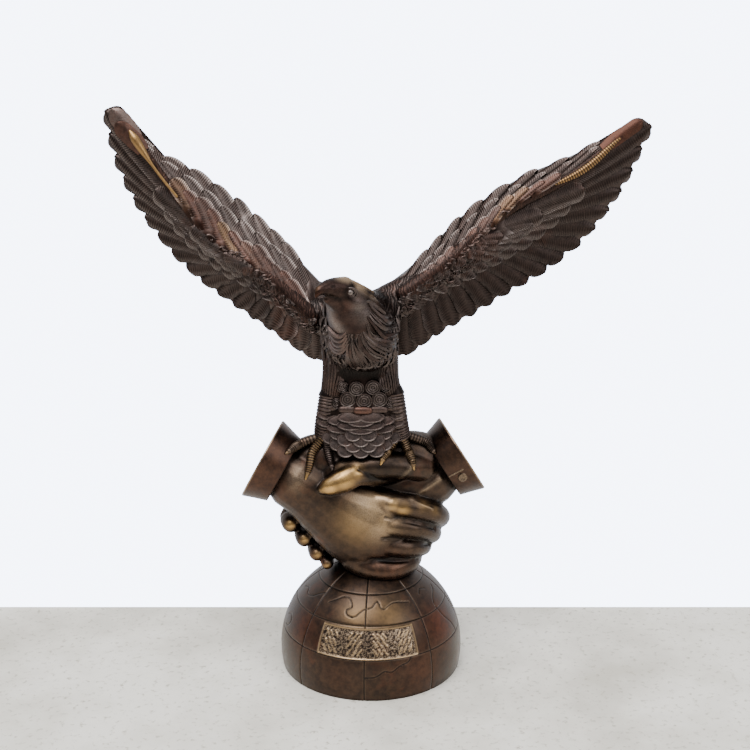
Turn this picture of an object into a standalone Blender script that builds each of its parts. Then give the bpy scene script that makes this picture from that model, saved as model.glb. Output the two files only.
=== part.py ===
"""Cast copper statue: an eagle landing with raised wings on two clasped hands, which rest on half a globe.

Three castings stand on each other: globe_base, clasped_hands and eagle. +X is to the viewer's right,
+Y goes away from the viewer, +Z is up, and the origin is the centre of the globe's flat underside.
The hands and the eagle are free forms. Each is drawn in millimetres on a drawing of its own size,
and the drawing is scaled to the real size that stands at the top here.
"""

import bisect
import math

import bmesh
import bpy
from mathutils import Matrix, Vector
from mathutils.bvhtree import BVHTree

GAP = 0.0003  # clearance between two castings that rest on each other

# Globe
GLOBE_RADIUS = 0.089
FOOT_TUCK = 0.0018  # how much the flat circle it stands on is narrower than the globe
GLOBE_COLUMNS = 24
GLOBE_ROWS = 12
GROOVE_WIDTH = 0.0016
GROOVE_DEPTH = 0.0008
MERIDIANS = 8
MERIDIAN_START = -4.0  # degrees, from straight ahead towards +X
PARALLELS = (15.0, 35.4, 55.3)  # latitudes of the engraved circles, in degrees

# Name plate on the globe's front, in degrees of longitude and latitude
PLATE_WEST = -35.9
PLATE_EAST = 31.4
PLATE_BOTTOM = 15.0
PLATE_TOP = 34.1
PLATE_RIM_WIDTH = 0.0028
PLATE_RIM_HEIGHT = 0.0012

# Clasped hands
HANDS_SPAN = 0.228  # from one sleeve end to the other
HANDS_DRAWN = 228.0  # span of the drawing, in millimetres
CUFF_LENGTH = 0.024
CUFF_INNER_RADIUS = 0.0335
CUFF_OUTER_RADIUS = 0.0400
CUFF_WALL = 0.0035
CUFF_RECESS = 0.006
BUTTON_RADIUS = 0.0048
BUTTON_HEIGHT = 0.0016

# Eagle
EAGLE_HEIGHT = 0.325  # from its ankles to the tips of its wings
EAGLE_DRAWN = 325.0  # height of the drawing, in millimetres
PERCH = (-8.0, 0.0, 113.5)  # the eagle's ankles' midpoint on the drawing of the hands
FLIGHT_FEATHERS = 17
TAIL_FEATHERS = 7

# Fineness of the castings
HAND_GRAIN = 0.0020
EAGLE_GRAIN = 0.0014
HAND_FACES = 1560
EAGLE_FACES = 5800

HAND_SCALE = HANDS_SPAN / HANDS_DRAWN
EAGLE_SCALE = EAGLE_HEIGHT / EAGLE_DRAWN
GLOBE_FOOT_RADIUS = GLOBE_RADIUS - FOOT_TUCK
GLOBE_CENTRE = Vector((0.0, 0.0, math.sqrt(GLOBE_RADIUS**2 - GLOBE_FOOT_RADIUS**2)))
HANDS_SEAT = GLOBE_CENTRE + Vector((0.0, 0.0, GLOBE_RADIUS))
EAGLE_SEAT = HANDS_SEAT + Vector(PERCH) * HAND_SCALE

VIEWER = Vector((0.0, -1.0, 0.0))


# Sheets, tubes and fused castings

def mix(a, b, share):
    return tuple(p + (q - p) * share for p, q in zip(a, b))


def smooth_path(points, steps):
    """Catmull-Rom curve through rows of numbers, with steps stretches between two neighbours."""
    ends = [mix(points[1], points[0], 2.0)] + list(points) + [mix(points[-2], points[-1], 2.0)]
    path = []
    for i in range(1, len(ends) - 2):
        before, here, there, after = ends[i - 1:i + 3]
        for k in range(steps):
            t = k / steps
            path.append(tuple(
                b + 0.5 * t * (c - a + t * (2 * a - 5 * b + 4 * c - d + t * (3 * (b - c) + d - a)))
                for a, b, c, d in zip(before, here, there, after)
            ))
    path.append(tuple(points[-1]))
    return path


def sheet(bm, rows):
    """A grid of faces laid through rows of points. Returns its vertices, row after row."""
    count = len(rows[0])
    made = bmesh.ops.create_grid(bm, x_segments=count - 1, y_segments=len(rows) - 1, size=1.0)
    verts = made["verts"]
    for vert, point in zip(verts, (p for row in rows for p in row)):
        vert.co = point
    return verts


def loft(bm, rings):
    """A closed body through rings of points, which all have as many points."""
    verts = sheet(bm, [list(ring) + [ring[0]] for ring in rings])
    count = len(rings[0]) + 1
    seam = {}
    for i in range(len(rings)):
        seam[verts[i * count + count - 1]] = verts[i * count]
    bmesh.ops.weld_verts(bm, targetmap=seam)
    for ring in (verts[:count - 1], verts[-count:-1]):
        bmesh.ops.contextual_create(bm, geom=list(ring))


def plate(bm, rows, back):
    """A closed plate: a sheet through rows of points, carried back by a vector for its thickness."""
    verts = sheet(bm, rows)
    faces = list({face for vert in verts for face in vert.link_faces})
    made = bmesh.ops.extrude_face_region(bm, geom=faces, use_keep_orig=True)["geom"]
    bmesh.ops.translate(bm, vec=back, verts=[v for v in made if isinstance(v, bmesh.types.BMVert)])


def tube(bm, stations, sides=12, facing=VIEWER, steps=3):
    """A round-ended limb through stations of x, y, z, half width and half thickness.

    The half width lies across the line of sight and the half thickness along facing.
    """
    path = smooth_path(stations, steps)
    spots = [(Vector(p[:3]), p[3], p[4]) for p in path]
    rings = []
    last = len(spots) - 1
    for i, (centre, wide, thin) in enumerate(spots):
        ahead = (spots[min(i + 1, last)][0] - spots[max(i - 1, 0)][0]).normalized()
        front = (facing - ahead * facing.dot(ahead)).normalized()
        side = ahead.cross(front)
        if i == 0:
            caps = [(-0.9, 0.42), (-0.6, 0.8), (0.0, 1.0)]
        elif i == last:
            caps = [(0.0, 1.0), (0.6, 0.8), (0.9, 0.42)]
        else:
            caps = [(0.0, 1.0)]
        for out, share in caps:
            middle = centre + ahead * (out * min(wide, thin))
            rings.append([
                middle + side * (math.cos(a) * wide * share) + front * (math.sin(a) * thin * share)
                for a in (2 * math.pi * k / sides for k in range(sides))
            ])
    loft(bm, rings)


def ball(bm, centre, radii, turn=Matrix()):
    matrix = Matrix.Translation(centre) @ turn @ Matrix.Diagonal((*radii, 1.0))
    bmesh.ops.create_icosphere(bm, subdivisions=2, radius=1.0, matrix=matrix)


def evaluated(mesh, kind, settings):
    """A mesh as one modifier leaves it."""
    obj = bpy.data.objects.new("working", mesh)
    bpy.context.scene.collection.objects.link(obj)
    modifier = obj.modifiers.new("shape", kind)
    for name, value in settings.items():
        setattr(modifier, name, value)
    graph = bpy.context.evaluated_depsgraph_get()
    result = bpy.data.meshes.new_from_object(obj.evaluated_get(graph))
    bpy.data.objects.remove(obj)
    return result


def to_mesh(bm, name):
    mesh = bpy.data.meshes.new(name)
    bm.to_mesh(mesh)
    bm.free()
    return mesh


def fused(shapes, grain, rounds):
    """Overlapping closed shapes made one skin, then smoothed in rounds."""
    loose = bmesh.new()
    for bm in shapes:
        loose.from_mesh(to_mesh(bm, "shape"))
    mesh = evaluated(to_mesh(loose, "loose"), "REMESH", {"mode": "VOXEL", "voxel_size": grain})
    skin = bmesh.new()
    skin.from_mesh(mesh)
    for _ in range(rounds):
        bmesh.ops.smooth_vert(
            skin, verts=skin.verts, factor=0.5, use_axis_x=True, use_axis_y=True, use_axis_z=True
        )
    return skin


def thinned(bm, faces):
    """The same form in about as many triangles."""
    mesh = to_mesh(bm, "fine")
    count = sum(len(p.vertices) - 2 for p in mesh.polygons)
    return evaluated(mesh, "DECIMATE", {"ratio": min(1.0, faces / count)})


def cut_by(mesh, cutter_mesh):
    cutter = bpy.data.objects.new("cutter", cutter_mesh)
    cutter.hide_render = True
    cutter.display_type = "WIRE"
    bpy.context.scene.collection.objects.link(cutter)
    settings = {"operation": "DIFFERENCE", "solver": "EXACT", "object": cutter}
    result = evaluated(mesh, "BOOLEAN", settings)
    bpy.data.objects.remove(cutter)
    return result


def grown(mesh, distance):
    """A copy whose skin stands further out."""
    bm = bmesh.new()
    bm.from_mesh(mesh)
    bm.normal_update()
    moved = [vert.co + vert.normal * distance for vert in bm.verts]
    for vert, point in zip(bm.verts, moved):
        vert.co = point
    return to_mesh(bm, "grown")


def largest_body(mesh):
    """The mesh without the crumbs that a cut leaves beside its main body."""
    bm = bmesh.new()
    bm.from_mesh(mesh)
    unseen = set(bm.verts)
    bodies = []
    while unseen:
        front = [unseen.pop()]
        body = set(front)
        while front:
            vert = front.pop()
            for edge in vert.link_edges:
                other = edge.other_vert(vert)
                if other in unseen:
                    unseen.remove(other)
                    body.add(other)
                    front.append(other)
        bodies.append(body)
    bodies.sort(key=len)
    for body in bodies[:-1]:
        bmesh.ops.delete(bm, geom=list(body), context="VERTS")
    bmesh.ops.triangulate(bm, faces=bm.faces)
    return to_mesh(bm, "body")


def add_piece(name, mesh, colour, roughness):
    material = bpy.data.materials.new(name)
    material.use_nodes = True
    shader = material.node_tree.nodes["Principled BSDF"]
    shader.inputs["Base Color"].default_value = (*colour, 1.0)
    shader.inputs["Metallic"].default_value = 1.0
    shader.inputs["Roughness"].default_value = roughness
    mesh.name = name
    mesh.materials.clear()
    mesh.materials.append(material)
    mesh.shade_smooth()
    mesh.set_sharp_from_angle(angle=math.radians(35))
    obj = bpy.data.objects.new(name, mesh)
    bpy.context.scene.collection.objects.link(obj)
    return obj


# Globe

def on_globe(longitude, latitude, height=0.0):
    """A point above the globe's skin, by degrees from straight ahead and from its equator."""
    east = math.radians(longitude)
    north = math.radians(latitude)
    way = Vector((math.sin(east) * math.cos(north), -math.cos(east) * math.cos(north), math.sin(north)))
    return GLOBE_CENTRE + way * (GLOBE_RADIUS + height)


def engrave(bm, point, normal):
    """A groove where a plane meets the skin: three cuts, and the middle one sunk."""
    for offset in (-0.5, 0.5, 0.0):
        made = bmesh.ops.bisect_plane(
            bm, geom=bm.verts[:] + bm.edges[:] + bm.faces[:], dist=1e-7,
            plane_co=point + normal * (offset * GROOVE_WIDTH), plane_no=normal,
        )
    return [v for v in made["geom_cut"] if isinstance(v, bmesh.types.BMVert)]


def angles(point):
    """Longitude and latitude of a point, in degrees."""
    way = (point - GLOBE_CENTRE).normalized()
    return math.degrees(math.atan2(way.x, -way.y)), math.degrees(math.asin(way.z))


def inside_plate(point, margin=0.0):
    longitude, latitude = angles(point)
    return (
        PLATE_WEST - margin < longitude < PLATE_EAST + margin
        and PLATE_BOTTOM - margin < latitude < PLATE_TOP + margin
    )


def raise_plate(bm):
    """The name plate: a raised rim round a sunk field, out of the globe's own skin."""
    for longitude in (PLATE_WEST, PLATE_EAST):
        east = math.radians(longitude)
        cut_near_plate(bm, GLOBE_CENTRE, Vector((math.cos(east), math.sin(east), 0.0)))
    for latitude in (PLATE_BOTTOM, PLATE_TOP):
        cut_near_plate(bm, on_globe(0.0, latitude), Vector((0.0, 0.0, 1.0)))
    faces = [face for face in bm.faces if inside_plate(face.calc_center_median())]
    made = bmesh.ops.extrude_face_region(bm, geom=faces)["geom"]
    field = [face for face in made if isinstance(face, bmesh.types.BMFace)]
    bmesh.ops.delete(bm, geom=[face for face in faces if face.is_valid], context="FACES")
    for vert in {vert for face in field for vert in face.verts}:
        vert.co = GLOBE_CENTRE + (vert.co - GLOBE_CENTRE).normalized() * (GLOBE_RADIUS + PLATE_RIM_HEIGHT)
    bmesh.ops.inset_region(bm, faces=field, thickness=PLATE_RIM_WIDTH, use_even_offset=True)
    bmesh.ops.inset_region(bm, faces=field, thickness=PLATE_RIM_HEIGHT * 0.5, use_even_offset=True)
    for vert in {vert for face in field for vert in face.verts}:
        vert.co = GLOBE_CENTRE + (vert.co - GLOBE_CENTRE).normalized() * GLOBE_RADIUS


def cut_near_plate(bm, point, normal):
    faces = [face for face in bm.faces if inside_plate(face.calc_center_median(), margin=12.0)]
    edges = {edge for face in faces for edge in face.edges}
    verts = {vert for face in faces for vert in face.verts}
    bmesh.ops.bisect_plane(
        bm, geom=[*verts, *edges, *faces], dist=1e-7, plane_co=point, plane_no=normal
    )


def make_globe():
    bm = bmesh.new()
    bmesh.ops.create_uvsphere(
        bm, u_segments=GLOBE_COLUMNS, v_segments=GLOBE_ROWS, radius=GLOBE_RADIUS,
        matrix=Matrix.Translation(GLOBE_CENTRE),
    )
    sunk = set()
    for k in range(MERIDIANS // 2):
        east = math.radians(MERIDIAN_START + 360 / MERIDIANS * k)
        sunk.update(engrave(bm, GLOBE_CENTRE, Vector((math.cos(east), math.sin(east), 0.0))))
    for latitude in PARALLELS:
        sunk.update(engrave(bm, on_globe(0.0, latitude), Vector((0.0, 0.0, 1.0))))
    for vert in list(bm.verts):
        way = (vert.co - GLOBE_CENTRE).normalized()
        vert.co = GLOBE_CENTRE + way * GLOBE_RADIUS
    raise_plate(bm)
    for vert in sunk:
        if vert.is_valid and not inside_plate(vert.co, margin=0.1):
            vert.co += (GLOBE_CENTRE - vert.co).normalized() * GROOVE_DEPTH
    foot = bmesh.ops.bisect_plane(
        bm, geom=bm.verts[:] + bm.edges[:] + bm.faces[:], dist=1e-7,
        plane_co=Vector((0.0, 0.0, 0.0)), plane_no=Vector((0.0, 0.0, -1.0)), clear_outer=True,
    )
    rim = [e for e in foot["geom_cut"] if isinstance(e, bmesh.types.BMEdge)]
    bmesh.ops.contextual_create(bm, geom=rim)
    return largest_body(to_mesh(bm, "globe"))


# Hands, drawn in millimetres from the globe's top: x, y, z, half width, half thickness

NEAR_ARM = (
    (-73, -13, 88, 30, 28), (-58, -14, 76, 30, 26), (-40, -16, 61, 34, 24),
    (-16, -17, 44, 41, 23), (4, -18, 34, 44, 21), (18, -17, 29, 38, 15),
)
FAR_ARM = (
    (60, 10, 84, 30, 28), (46, 8, 76, 31, 27), (25, 8, 63, 35, 24),
    (0, 10, 51, 38, 22), (-25, 13, 41, 36, 18), (-40, 15, 34, 28, 13),
)
NEAR_FINGERS = (
    ((4, -20, 66, 12, 11), (23, -24, 65, 11, 11), (42, -23, 61, 11, 10.5), (60, -15, 53, 10.5, 10.5),
     (67, 2, 42, 10, 10), (62, 18, 33, 10, 10), (48, 30, 28, 8, 8)),
    ((0, -21, 45, 11, 11), (20, -26, 44, 10.5, 10.5), (40, -24, 41, 10.5, 10.5), (54, -13, 34, 10, 10),
     (59, 4, 24, 10, 10), (53, 20, 17, 9.5, 9.5), (40, 31, 14, 8, 8)),
    ((-5, -20, 24, 11, 11), (14, -24, 23, 10, 10), (34, -21, 20, 10, 10), (46, -10, 16, 9.5, 9.5),
     (50, 6, 10, 9.5, 9.5), (44, 21, 6, 8, 8)),
    ((-20, -22, 1, 11, 11), (-2, -27, -1, 10.5, 10.5), (18, -26, -2, 10.5, 10.5), (35, -14, -2, 9.5, 9.5),
     (41, 4, -4, 8, 8)),
)
FAR_FINGERS = (
    ((-28, 24, 42, 11, 10), (-60, 22, 47, 10.5, 10.5), (-78, 7, 42, 10, 10), (-77, -9, 39, 9, 9)),
    ((-28, 23, 26, 11, 10), (-50, 20, 31, 10, 10), (-65, 5, 28, 9.5, 9.5), (-64, -12, 25, 8.5, 8.5)),
    ((-22, 20, 12, 10, 10), (-40, 18, 17, 9.5, 9.5), (-53, 3, 14, 9, 9), (-52, -15, 11, 8, 8)),
    ((-14, 18, 0, 9, 9), (-30, 15, 3, 8.5, 8.5), (-43, 2, 2, 7.5, 7.5), (-42, -16, 1, 6.5, 6.5)),
)
FAR_THUMB = (
    (56, 6, 96, 15, 14), (30, 2, 96, 14, 14), (8, -15, 94, 13, 13), (-12, -31, 98, 11.5, 11),
    (-26, -37, 93, 11.5, 10), (-40, -39, 88, 8.5, 7.5), (-45, -40, 86, 5, 4.5),
)
NEAR_THUMB = (
    (-46, -16, 84, 14, 14), (-24, -24, 99, 13, 13), (4, -26, 104, 12, 12), (32, -21, 102, 12, 12),
    (52, -10, 96, 13, 12),
)
# Wrists and thumb roots, which fill the space between the sleeves
SADDLE = (
    (-66, -7, 98, 24, 21), (-48, -6, 104, 25, 22), (-20, -4, 102, 24, 22), (12, -2, 102, 24, 22),
    (40, 2, 104, 25, 22), (58, 6, 98, 24, 21),
)
KNUCKLES = ((20, -27, 66, 9), (16, -26.5, 46, 8), (11, -25, 25, 7.5))
# Where each sleeve end begins, and the direction in which it opens
CUFFS = (
    ("near", (-82, -12, 95), (-0.8747, 0.10, 0.474)),
    ("far", (68, 10, 91), (0.8398, 0.13, 0.527)),
)
BUTTON = (92, -26, 82)  # on the far hand's cuff, a little off its skin


def on_hands(point):
    """From the drawing of the hands to its real place."""
    return HANDS_SEAT + Vector(point) * HAND_SCALE


def hand_stations(stations):
    rows = []
    for x, y, z, wide, thin in stations:
        rows.append((*on_hands((x, y, z)), wide * HAND_SCALE, thin * HAND_SCALE))
    return rows


def add_cuff(bm, place, way):
    """A sleeve end: a flaring cone with a thin rim round its open end."""
    profile = (
        (0.0, 0.0), (CUFF_INNER_RADIUS, 0.0), (CUFF_OUTER_RADIUS, CUFF_LENGTH),
        (CUFF_OUTER_RADIUS - CUFF_WALL, CUFF_LENGTH),
        (CUFF_OUTER_RADIUS - CUFF_WALL, CUFF_LENGTH - CUFF_RECESS), (0.0, CUFF_LENGTH - CUFF_RECESS),
    )
    turn = Vector((0.0, 0.0, 1.0)).rotation_difference(Vector(way)).to_matrix().to_4x4()
    stand = Matrix.Translation(on_hands(place)) @ turn
    verts = [bm.verts.new(stand @ Vector((radius, 0.0, height))) for radius, height in profile]
    edges = [bm.edges.new(pair) for pair in zip(verts, verts[1:])]
    bmesh.ops.spin(
        bm, geom=verts + edges, cent=stand.translation, axis=stand.to_3x3() @ Vector((0.0, 0.0, 1.0)),
        angle=2 * math.pi, steps=32, use_merge=True,
    )


def add_button(bm):
    centre = on_hands(BUTTON)
    cuff = on_hands(CUFFS[1][1])
    axis = Vector(CUFFS[1][2])
    out = centre - cuff
    out = (out - axis * out.dot(axis)).normalized()
    turn = Vector((0.0, 0.0, 1.0)).rotation_difference(out).to_matrix().to_4x4()
    skin = CUFF_INNER_RADIUS + (CUFF_OUTER_RADIUS - CUFF_INNER_RADIUS) * 0.6
    foot = cuff + axis * (centre - cuff).dot(axis) + out * (skin + BUTTON_HEIGHT / 2 - CUFF_WALL / 2)
    bmesh.ops.create_cone(
        bm, cap_ends=True, segments=16, radius1=BUTTON_RADIUS, radius2=BUTTON_RADIUS,
        depth=CUFF_WALL + BUTTON_HEIGHT, matrix=Matrix.Translation(foot) @ turn,
    )


def make_hands():
    soft = bmesh.new()
    limbs = (NEAR_ARM, FAR_ARM, SADDLE, FAR_THUMB, NEAR_THUMB, *NEAR_FINGERS, *FAR_FINGERS)
    for stations in limbs:
        tube(soft, hand_stations(stations), sides=14)
    for x, y, z, radius in KNUCKLES:
        ball(soft, on_hands((x, y, z)), (radius * HAND_SCALE,) * 3)
    flesh = fused([soft], HAND_GRAIN, 3)
    sleeves = bmesh.new()
    for _, place, way in CUFFS:
        add_cuff(sleeves, place, way)
    add_button(sleeves)
    mesh = thinned(fused([flesh, sleeves], HAND_GRAIN * 0.8, 1), HAND_FACES)
    seat = bmesh.new()
    bmesh.ops.create_uvsphere(
        seat, u_segments=40, v_segments=20, radius=GLOBE_RADIUS + GAP * 2,
        matrix=Matrix.Translation(GLOBE_CENTRE),
    )
    return largest_body(cut_by(mesh, to_mesh(seat, "seat")))


# Eagle, drawn in millimetres from the middle between its ankles

TORSO = (
    (-3, -12, 138, 24, 20), (-1, -2, 126, 35, 27), (0, -6, 106, 39, 35), (-1, -2, 84, 37, 27),
    (-1, -4, 58, 36, 27), (-1, -7, 32, 39, 30), (-1, -6, 14, 35, 27), (0, -4, 0, 24, 18),
)
NECK = (
    (-13, -46, 154, 18, 18), (-8, -43, 144, 22.5, 21), (-2, -38, 132, 26, 24), (2, -31, 118, 29, 27),
    (0, -20, 105, 33, 25),
)
SKULL = ((-11, -47, 157), (21.5, 20.0, 13.5))
SKULL_SLOPE = 30.0  # degrees that the crown falls towards the back of the head
BEAK = (
    (-16, -57, 165, 12.5, 10.5), (-25, -65, 168.5, 9.2, 8.5), (-32, -71, 169, 6.6, 6.5),
    (-36.8, -75, 166.5, 4.4, 4.6), (-38.6, -77, 160.5, 2.2, 2.6),
)
JAW = ((-18, -57, 156, 9.5, 7.5), (-26, -64, 158, 6.2, 6), (-33, -69, 159.5, 3, 3.4))
CROWN = ((-24, -62, 174, 3.5, 3), (-12, -56, 171.5, 4, 3), (0, -50, 164.5, 4, 3), (9, -40, 158, 3.5, 3))
EYE = ((-9.5, -63.5, 164), 4.0)
TUFT = ((-31, -42, 130, 3, 3), (-27, -49, 123, 5, 4.5), (-18, -57, 121, 4.5, 4), (-11, -60, 126, 3, 3))
THIGHS = (
    ((-24, -8, 102, 15, 16), (-27, -14, 78, 14, 14), (-30, -18, 58, 10, 10)),
    ((24, -8, 102, 15, 16), (27, -14, 78, 14, 14), (29, -18, 60, 10, 10)),
)
SHANKS = (
    ((-31, -19, 58, 8.5, 8.5), (-33, -20, 44, 8.5, 8.5), (-35, -18, 27, 9, 8.5), (-36, -15, 14, 9, 8)),
    ((30, -19, 60, 8.5, 8.5), (32, -20, 46, 8.5, 8.5), (34, -18, 28, 9, 8.5), (36, -15, 16, 9, 8)),
)
# Each toe: where it leaves the ankle, its middle and its claw's tip, before it is laid on the hands
TOES = (
    ((-39, -16, 16), (-57, -22, 8), (-74, -25, -5)), ((-37, -22, 14), (-43, -34, -2), (-46, -36, -20)),
    ((-31, -22, 16), (-24, -33, 3), (-17, -38, -10)), ((-36, -8, 14), (-38, 10, 4), (-40, 26, -4)),
    ((42, -16, 18), (57, -18, 12), (70, -20, 2)), ((37, -22, 16), (43, -32, 2), (48, -34, -12)),
    ((31, -22, 16), (24, -33, 7), (18, -38, -6)), ((36, -8, 16), (38, 10, 6), (40, 24, -2)),
)
# Locks round the neck. Each row has how many, the height of their roots, how far they fall, the
# degrees from straight ahead of the first root and the last, and the degrees that they drift
HACKLE_ROWS = (
    (6, 156, 27, 52, 160, 34), (7, 145, 30, 30, 160, 36), (7, 133, 30, 14, 160, 34), (6, 120, 26, 8, 150, 24),
    (5, 150, 22, -70, -160, -24), (6, 138, 24, -48, -160, -26), (6, 124, 24, -40, -150, -22),
)
# A lock's half width and how far its middle stands off the neck, at shares of its length
LOCK_SIZES = ((0.0, 1.4, 0.0), (0.35, 3.3, 0.45), (0.75, 3.0, 0.75), (1.0, 1.2, 1.6))
TOE_ROOT = 5.8
TOE_END = 4.4
CLAW_END = 1.6

# Rows of round scales over the lower belly: the lowest one's middle, the distances between two
# scales and between two rows, how far the outer scales lie back, and a scale's half sizes
SCALE_ROWS = 6
SCALE_START = (-1, -36, 4)
SCALE_STEP = 13.5
SCALE_ROW_STEP = 7.6
SCALE_FALL = 0.013
SCALE_SIZE = (8.2, 4.6, 7.0)

# The tail's body, then its fan of feathers: root, tip and how far the outer ones are spread and raised
TAIL = ((0, 6, 110, 30, 20), (0, 16, 80, 30, 16), (-1, 26, 40, 33, 11), (-1, 31, 8, 34, 8))
TAIL_ROOT = (16, 20, 88)
TAIL_TIP = (37, 40, -8)
TAIL_SPREAD = (4, 12)
TAIL_HALF_WIDTH = 8.5
TAIL_THICKNESS = 7.0

# Wings: distance out from the body's middle and height above the ankles
RIGHT_WING = {
    "ridge": ((39, 146), (99, 190), (143, 230), (201, 258), (234, 286), (255, 302)),
    "trailing": ((39, 90), (104, 123), (143, 146), (183, 170), (215, 198), (246, 247), (266, 299)),
    "leading": ((17, 150), (46, 171), (92, 216), (146, 251), (190, 269), (230, 289), (259, 306)),
}
LEFT_WING = {
    "ridge": ((46, 124), (98, 170), (131, 189), (156, 219), (190, 261), (224, 314)),
    "trailing": ((42, 81), (81, 106), (136, 143), (168, 172), (205, 219), (228, 271), (235, 313)),
    "leading": ((40, 157), (81, 198), (117, 229), (159, 257), (197, 279), (224, 321)),
}
RIDGE_START = 4.0  # how far back the ridge lies at the shoulder and at the tip
RIDGE_END = 38.0
TRAIL_SLANT = 0.22  # how far the wing falls back below and above its ridge, for each millimetre
LEAD_SLANT = 0.50
ROOT_THICKNESS = 18.0
FEATHER_TILT = 1.7  # how far a feather's covering edge stands over its covered edge
WING_ROOT_DEPTH = 20.0  # how far a wing reaches into the body
# The wing's muscle: its start inside the body, then its radius at shares of the ridge
SHOULDER_START = (4.0, 122.0, 22.0, 18.0)
SHOULDER = ((0.02, 16.0), (0.14, 12.0), (0.30, 8.0))
TIP_THICKNESS = 8.0
EDGE_THICKNESS = 3.4
ARM_WIDTH = 22.0  # how far the thick part of the wing spreads from its ridge
SWEEP = 0.42  # how much further in the outermost feather starts than it ends
SWEEP_BEND = 0.5
FEATHER_CROWN = 0.9

# Rows of feathers below the ridge: how many, where each starts and ends between the ridge and the
# trailing edge, how far its tip stands off the wing, and its thickness
FLIGHT_ROW = (FLIGHT_FEATHERS, 0.10, 1.00, 0.6, 3.6)
COVERT_ROWS = ((17, 0.06, 0.58, 3.0, 4.6), (16, 0.03, 0.38, 5.0, 6.0), (15, 0.00, 0.21, 6.6, 7.0))
# Rows above the ridge, whose feathers point to the wing's tip: how many, height between the ridge
# and the leading edge at root and tip, stand-off and thickness
LEADING_ROWS = ((16, 0.60, 1.02, 1.4, 4.8), (16, 0.28, 0.62, 3.4, 6.0), (15, -0.04, 0.20, 5.6, 7.5))
LEADING_START = 0.02  # shares of the ridge where the first root lies and over which the roots spread
LEADING_SPREAD = 0.82
LEADING_REACH = 1.9  # a feather's length in steps between two roots
LEADING_WIDTH = 0.22  # its half width as a share of the wing above the ridge, and at least
LEADING_LEAST = 4.2

BACK_ROWS = ((FLIGHT_FEATHERS, 0.05, 1.00, 0.6, 4.0), (15, 0.00, 0.50, 2.6, 6.0))
# Smooth blades on the ridge's outer end: where each starts and ends, half width and stand-off
TIP_BLADES = ((0.62, 0.84, 6.0, 4.0), (0.80, 0.93, 6.5, 3.2), (0.86, 1.00, 7.0, 2.4))


def on_eagle(point):
    """From the drawing of the eagle to its real place."""
    return EAGLE_SEAT + Vector(point) * EAGLE_SCALE


def eagle_stations(stations):
    rows = []
    for x, y, z, wide, thin in stations:
        rows.append((*on_eagle((x, y, z)), wide * EAGLE_SCALE, thin * EAGLE_SCALE))
    return rows


class Wing:
    """The skin that a wing's feathers lie on, in the drawing's millimetres."""

    def __init__(self, side, curves):
        self.side = side
        self.curves = {}
        for name, points in curves.items():
            path = smooth_path(points, 8)
            reach = [0.0]
            for a, b in zip(path, path[1:]):
                reach.append(reach[-1] + math.dist(a, b))
            self.curves[name] = (path, [length / reach[-1] for length in reach])

    def along(self, name, share):
        """The point at a share of a curve's length."""
        path, shares = self.curves[name]
        share = max(0.0, min(1.0, share))
        k = min(max(bisect.bisect_right(shares, share), 1), len(path) - 1)
        return mix(path[k - 1], path[k], (share - shares[k - 1]) / (shares[k] - shares[k - 1]))

    def spot(self, share, fall):
        """A point of the feather line that ends at a share of the wing's edge, seen from the front.

        fall runs from -1 at the leading edge over 0 on the ridge to 1 at the trailing edge. Below the
        ridge the lines start further in than they end, most of all the outer ones.
        """
        if fall < 0:
            return mix(self.along("ridge", share), self.along("leading", share), -fall)
        inner = share * (1.0 - SWEEP * max(0.0, share) ** 1.2)
        root = self.along("ridge", inner)
        end = self.along("trailing", share)
        bend = mix(mix(root, end, 0.5), self.along("ridge", (inner + share) / 2), SWEEP_BEND)
        return mix(mix(root, bend, fall), mix(bend, end, fall), fall)

    def skin(self, spot, back=False, lift=0.0):
        """The point of the front or the back that is seen at a spot."""
        path, shares = self.curves["ridge"]
        nearest = (1e9, 0.0, 0.0)
        for a, b, share_a, share_b in zip(path, path[1:], shares, shares[1:]):
            run = (b[0] - a[0], b[1] - a[1])
            square = run[0] ** 2 + run[1] ** 2
            t = ((spot[0] - a[0]) * run[0] + (spot[1] - a[1]) * run[1]) / square
            t = max(0.0, min(1.0, t))
            gap = math.dist(spot, (a[0] + run[0] * t, a[1] + run[1] * t))
            if gap < nearest[0]:
                above = run[0] * (spot[1] - a[1]) - run[1] * (spot[0] - a[0])
                nearest = (gap, share_a + (share_b - share_a) * t, above)
        gap, share, above = nearest
        y = RIDGE_START + (RIDGE_END - RIDGE_START) * share**0.8
        y += gap * (LEAD_SLANT if above > 0 else TRAIL_SLANT)
        if back:
            thick = ROOT_THICKNESS + (TIP_THICKNESS - ROOT_THICKNESS) * share
            y += EDGE_THICKNESS + (thick - EDGE_THICKNESS) * math.exp(-(gap / ARM_WIDTH) ** 2)
            return Vector((self.side * spot[0], y + lift, spot[1]))
        return Vector((self.side * spot[0], y - lift, spot[1]))


def add_feather(bm, axis, half_width, tilt, thickness, rows=7, away=-1.0):
    """A feather as a plate with a round end.

    axis gives a point for a share of its length. tilt lifts the edge on the body's side, so that an
    outer feather covers the next one in. away is -1 on the front and 1 on the back.
    """
    points = []
    for i in range(rows + 1):
        share = 1.0 - (1.0 - i / rows) ** 1.6
        middle = axis(share)
        ahead = (axis(min(1.0, share + 0.02)) - axis(share - 0.02)).normalized()
        side = ahead.cross(VIEWER * -away).normalized()
        if side.x < 0:
            side.negate()
        room = max(0.0, share - 0.80) / 0.20
        wide = half_width * (0.72 + 0.28 * min(1.0, share * 3)) * math.sqrt(max(0.05, 1.0 - room**2))
        outward = 1.0 if middle.x > 0 else -1.0
        row = []
        for across in (-1.0, -0.4, 0.4, 1.0):
            rise = FEATHER_CROWN * (1.0 - across**2) - tilt * across * outward
            row.append(on_eagle(middle + side * (across * wide) + Vector((0.0, away * rise, 0.0))))
        points.append(row)
    plate(bm, points, Vector((0.0, -away * thickness * EAGLE_SCALE, 0.0)))


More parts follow.
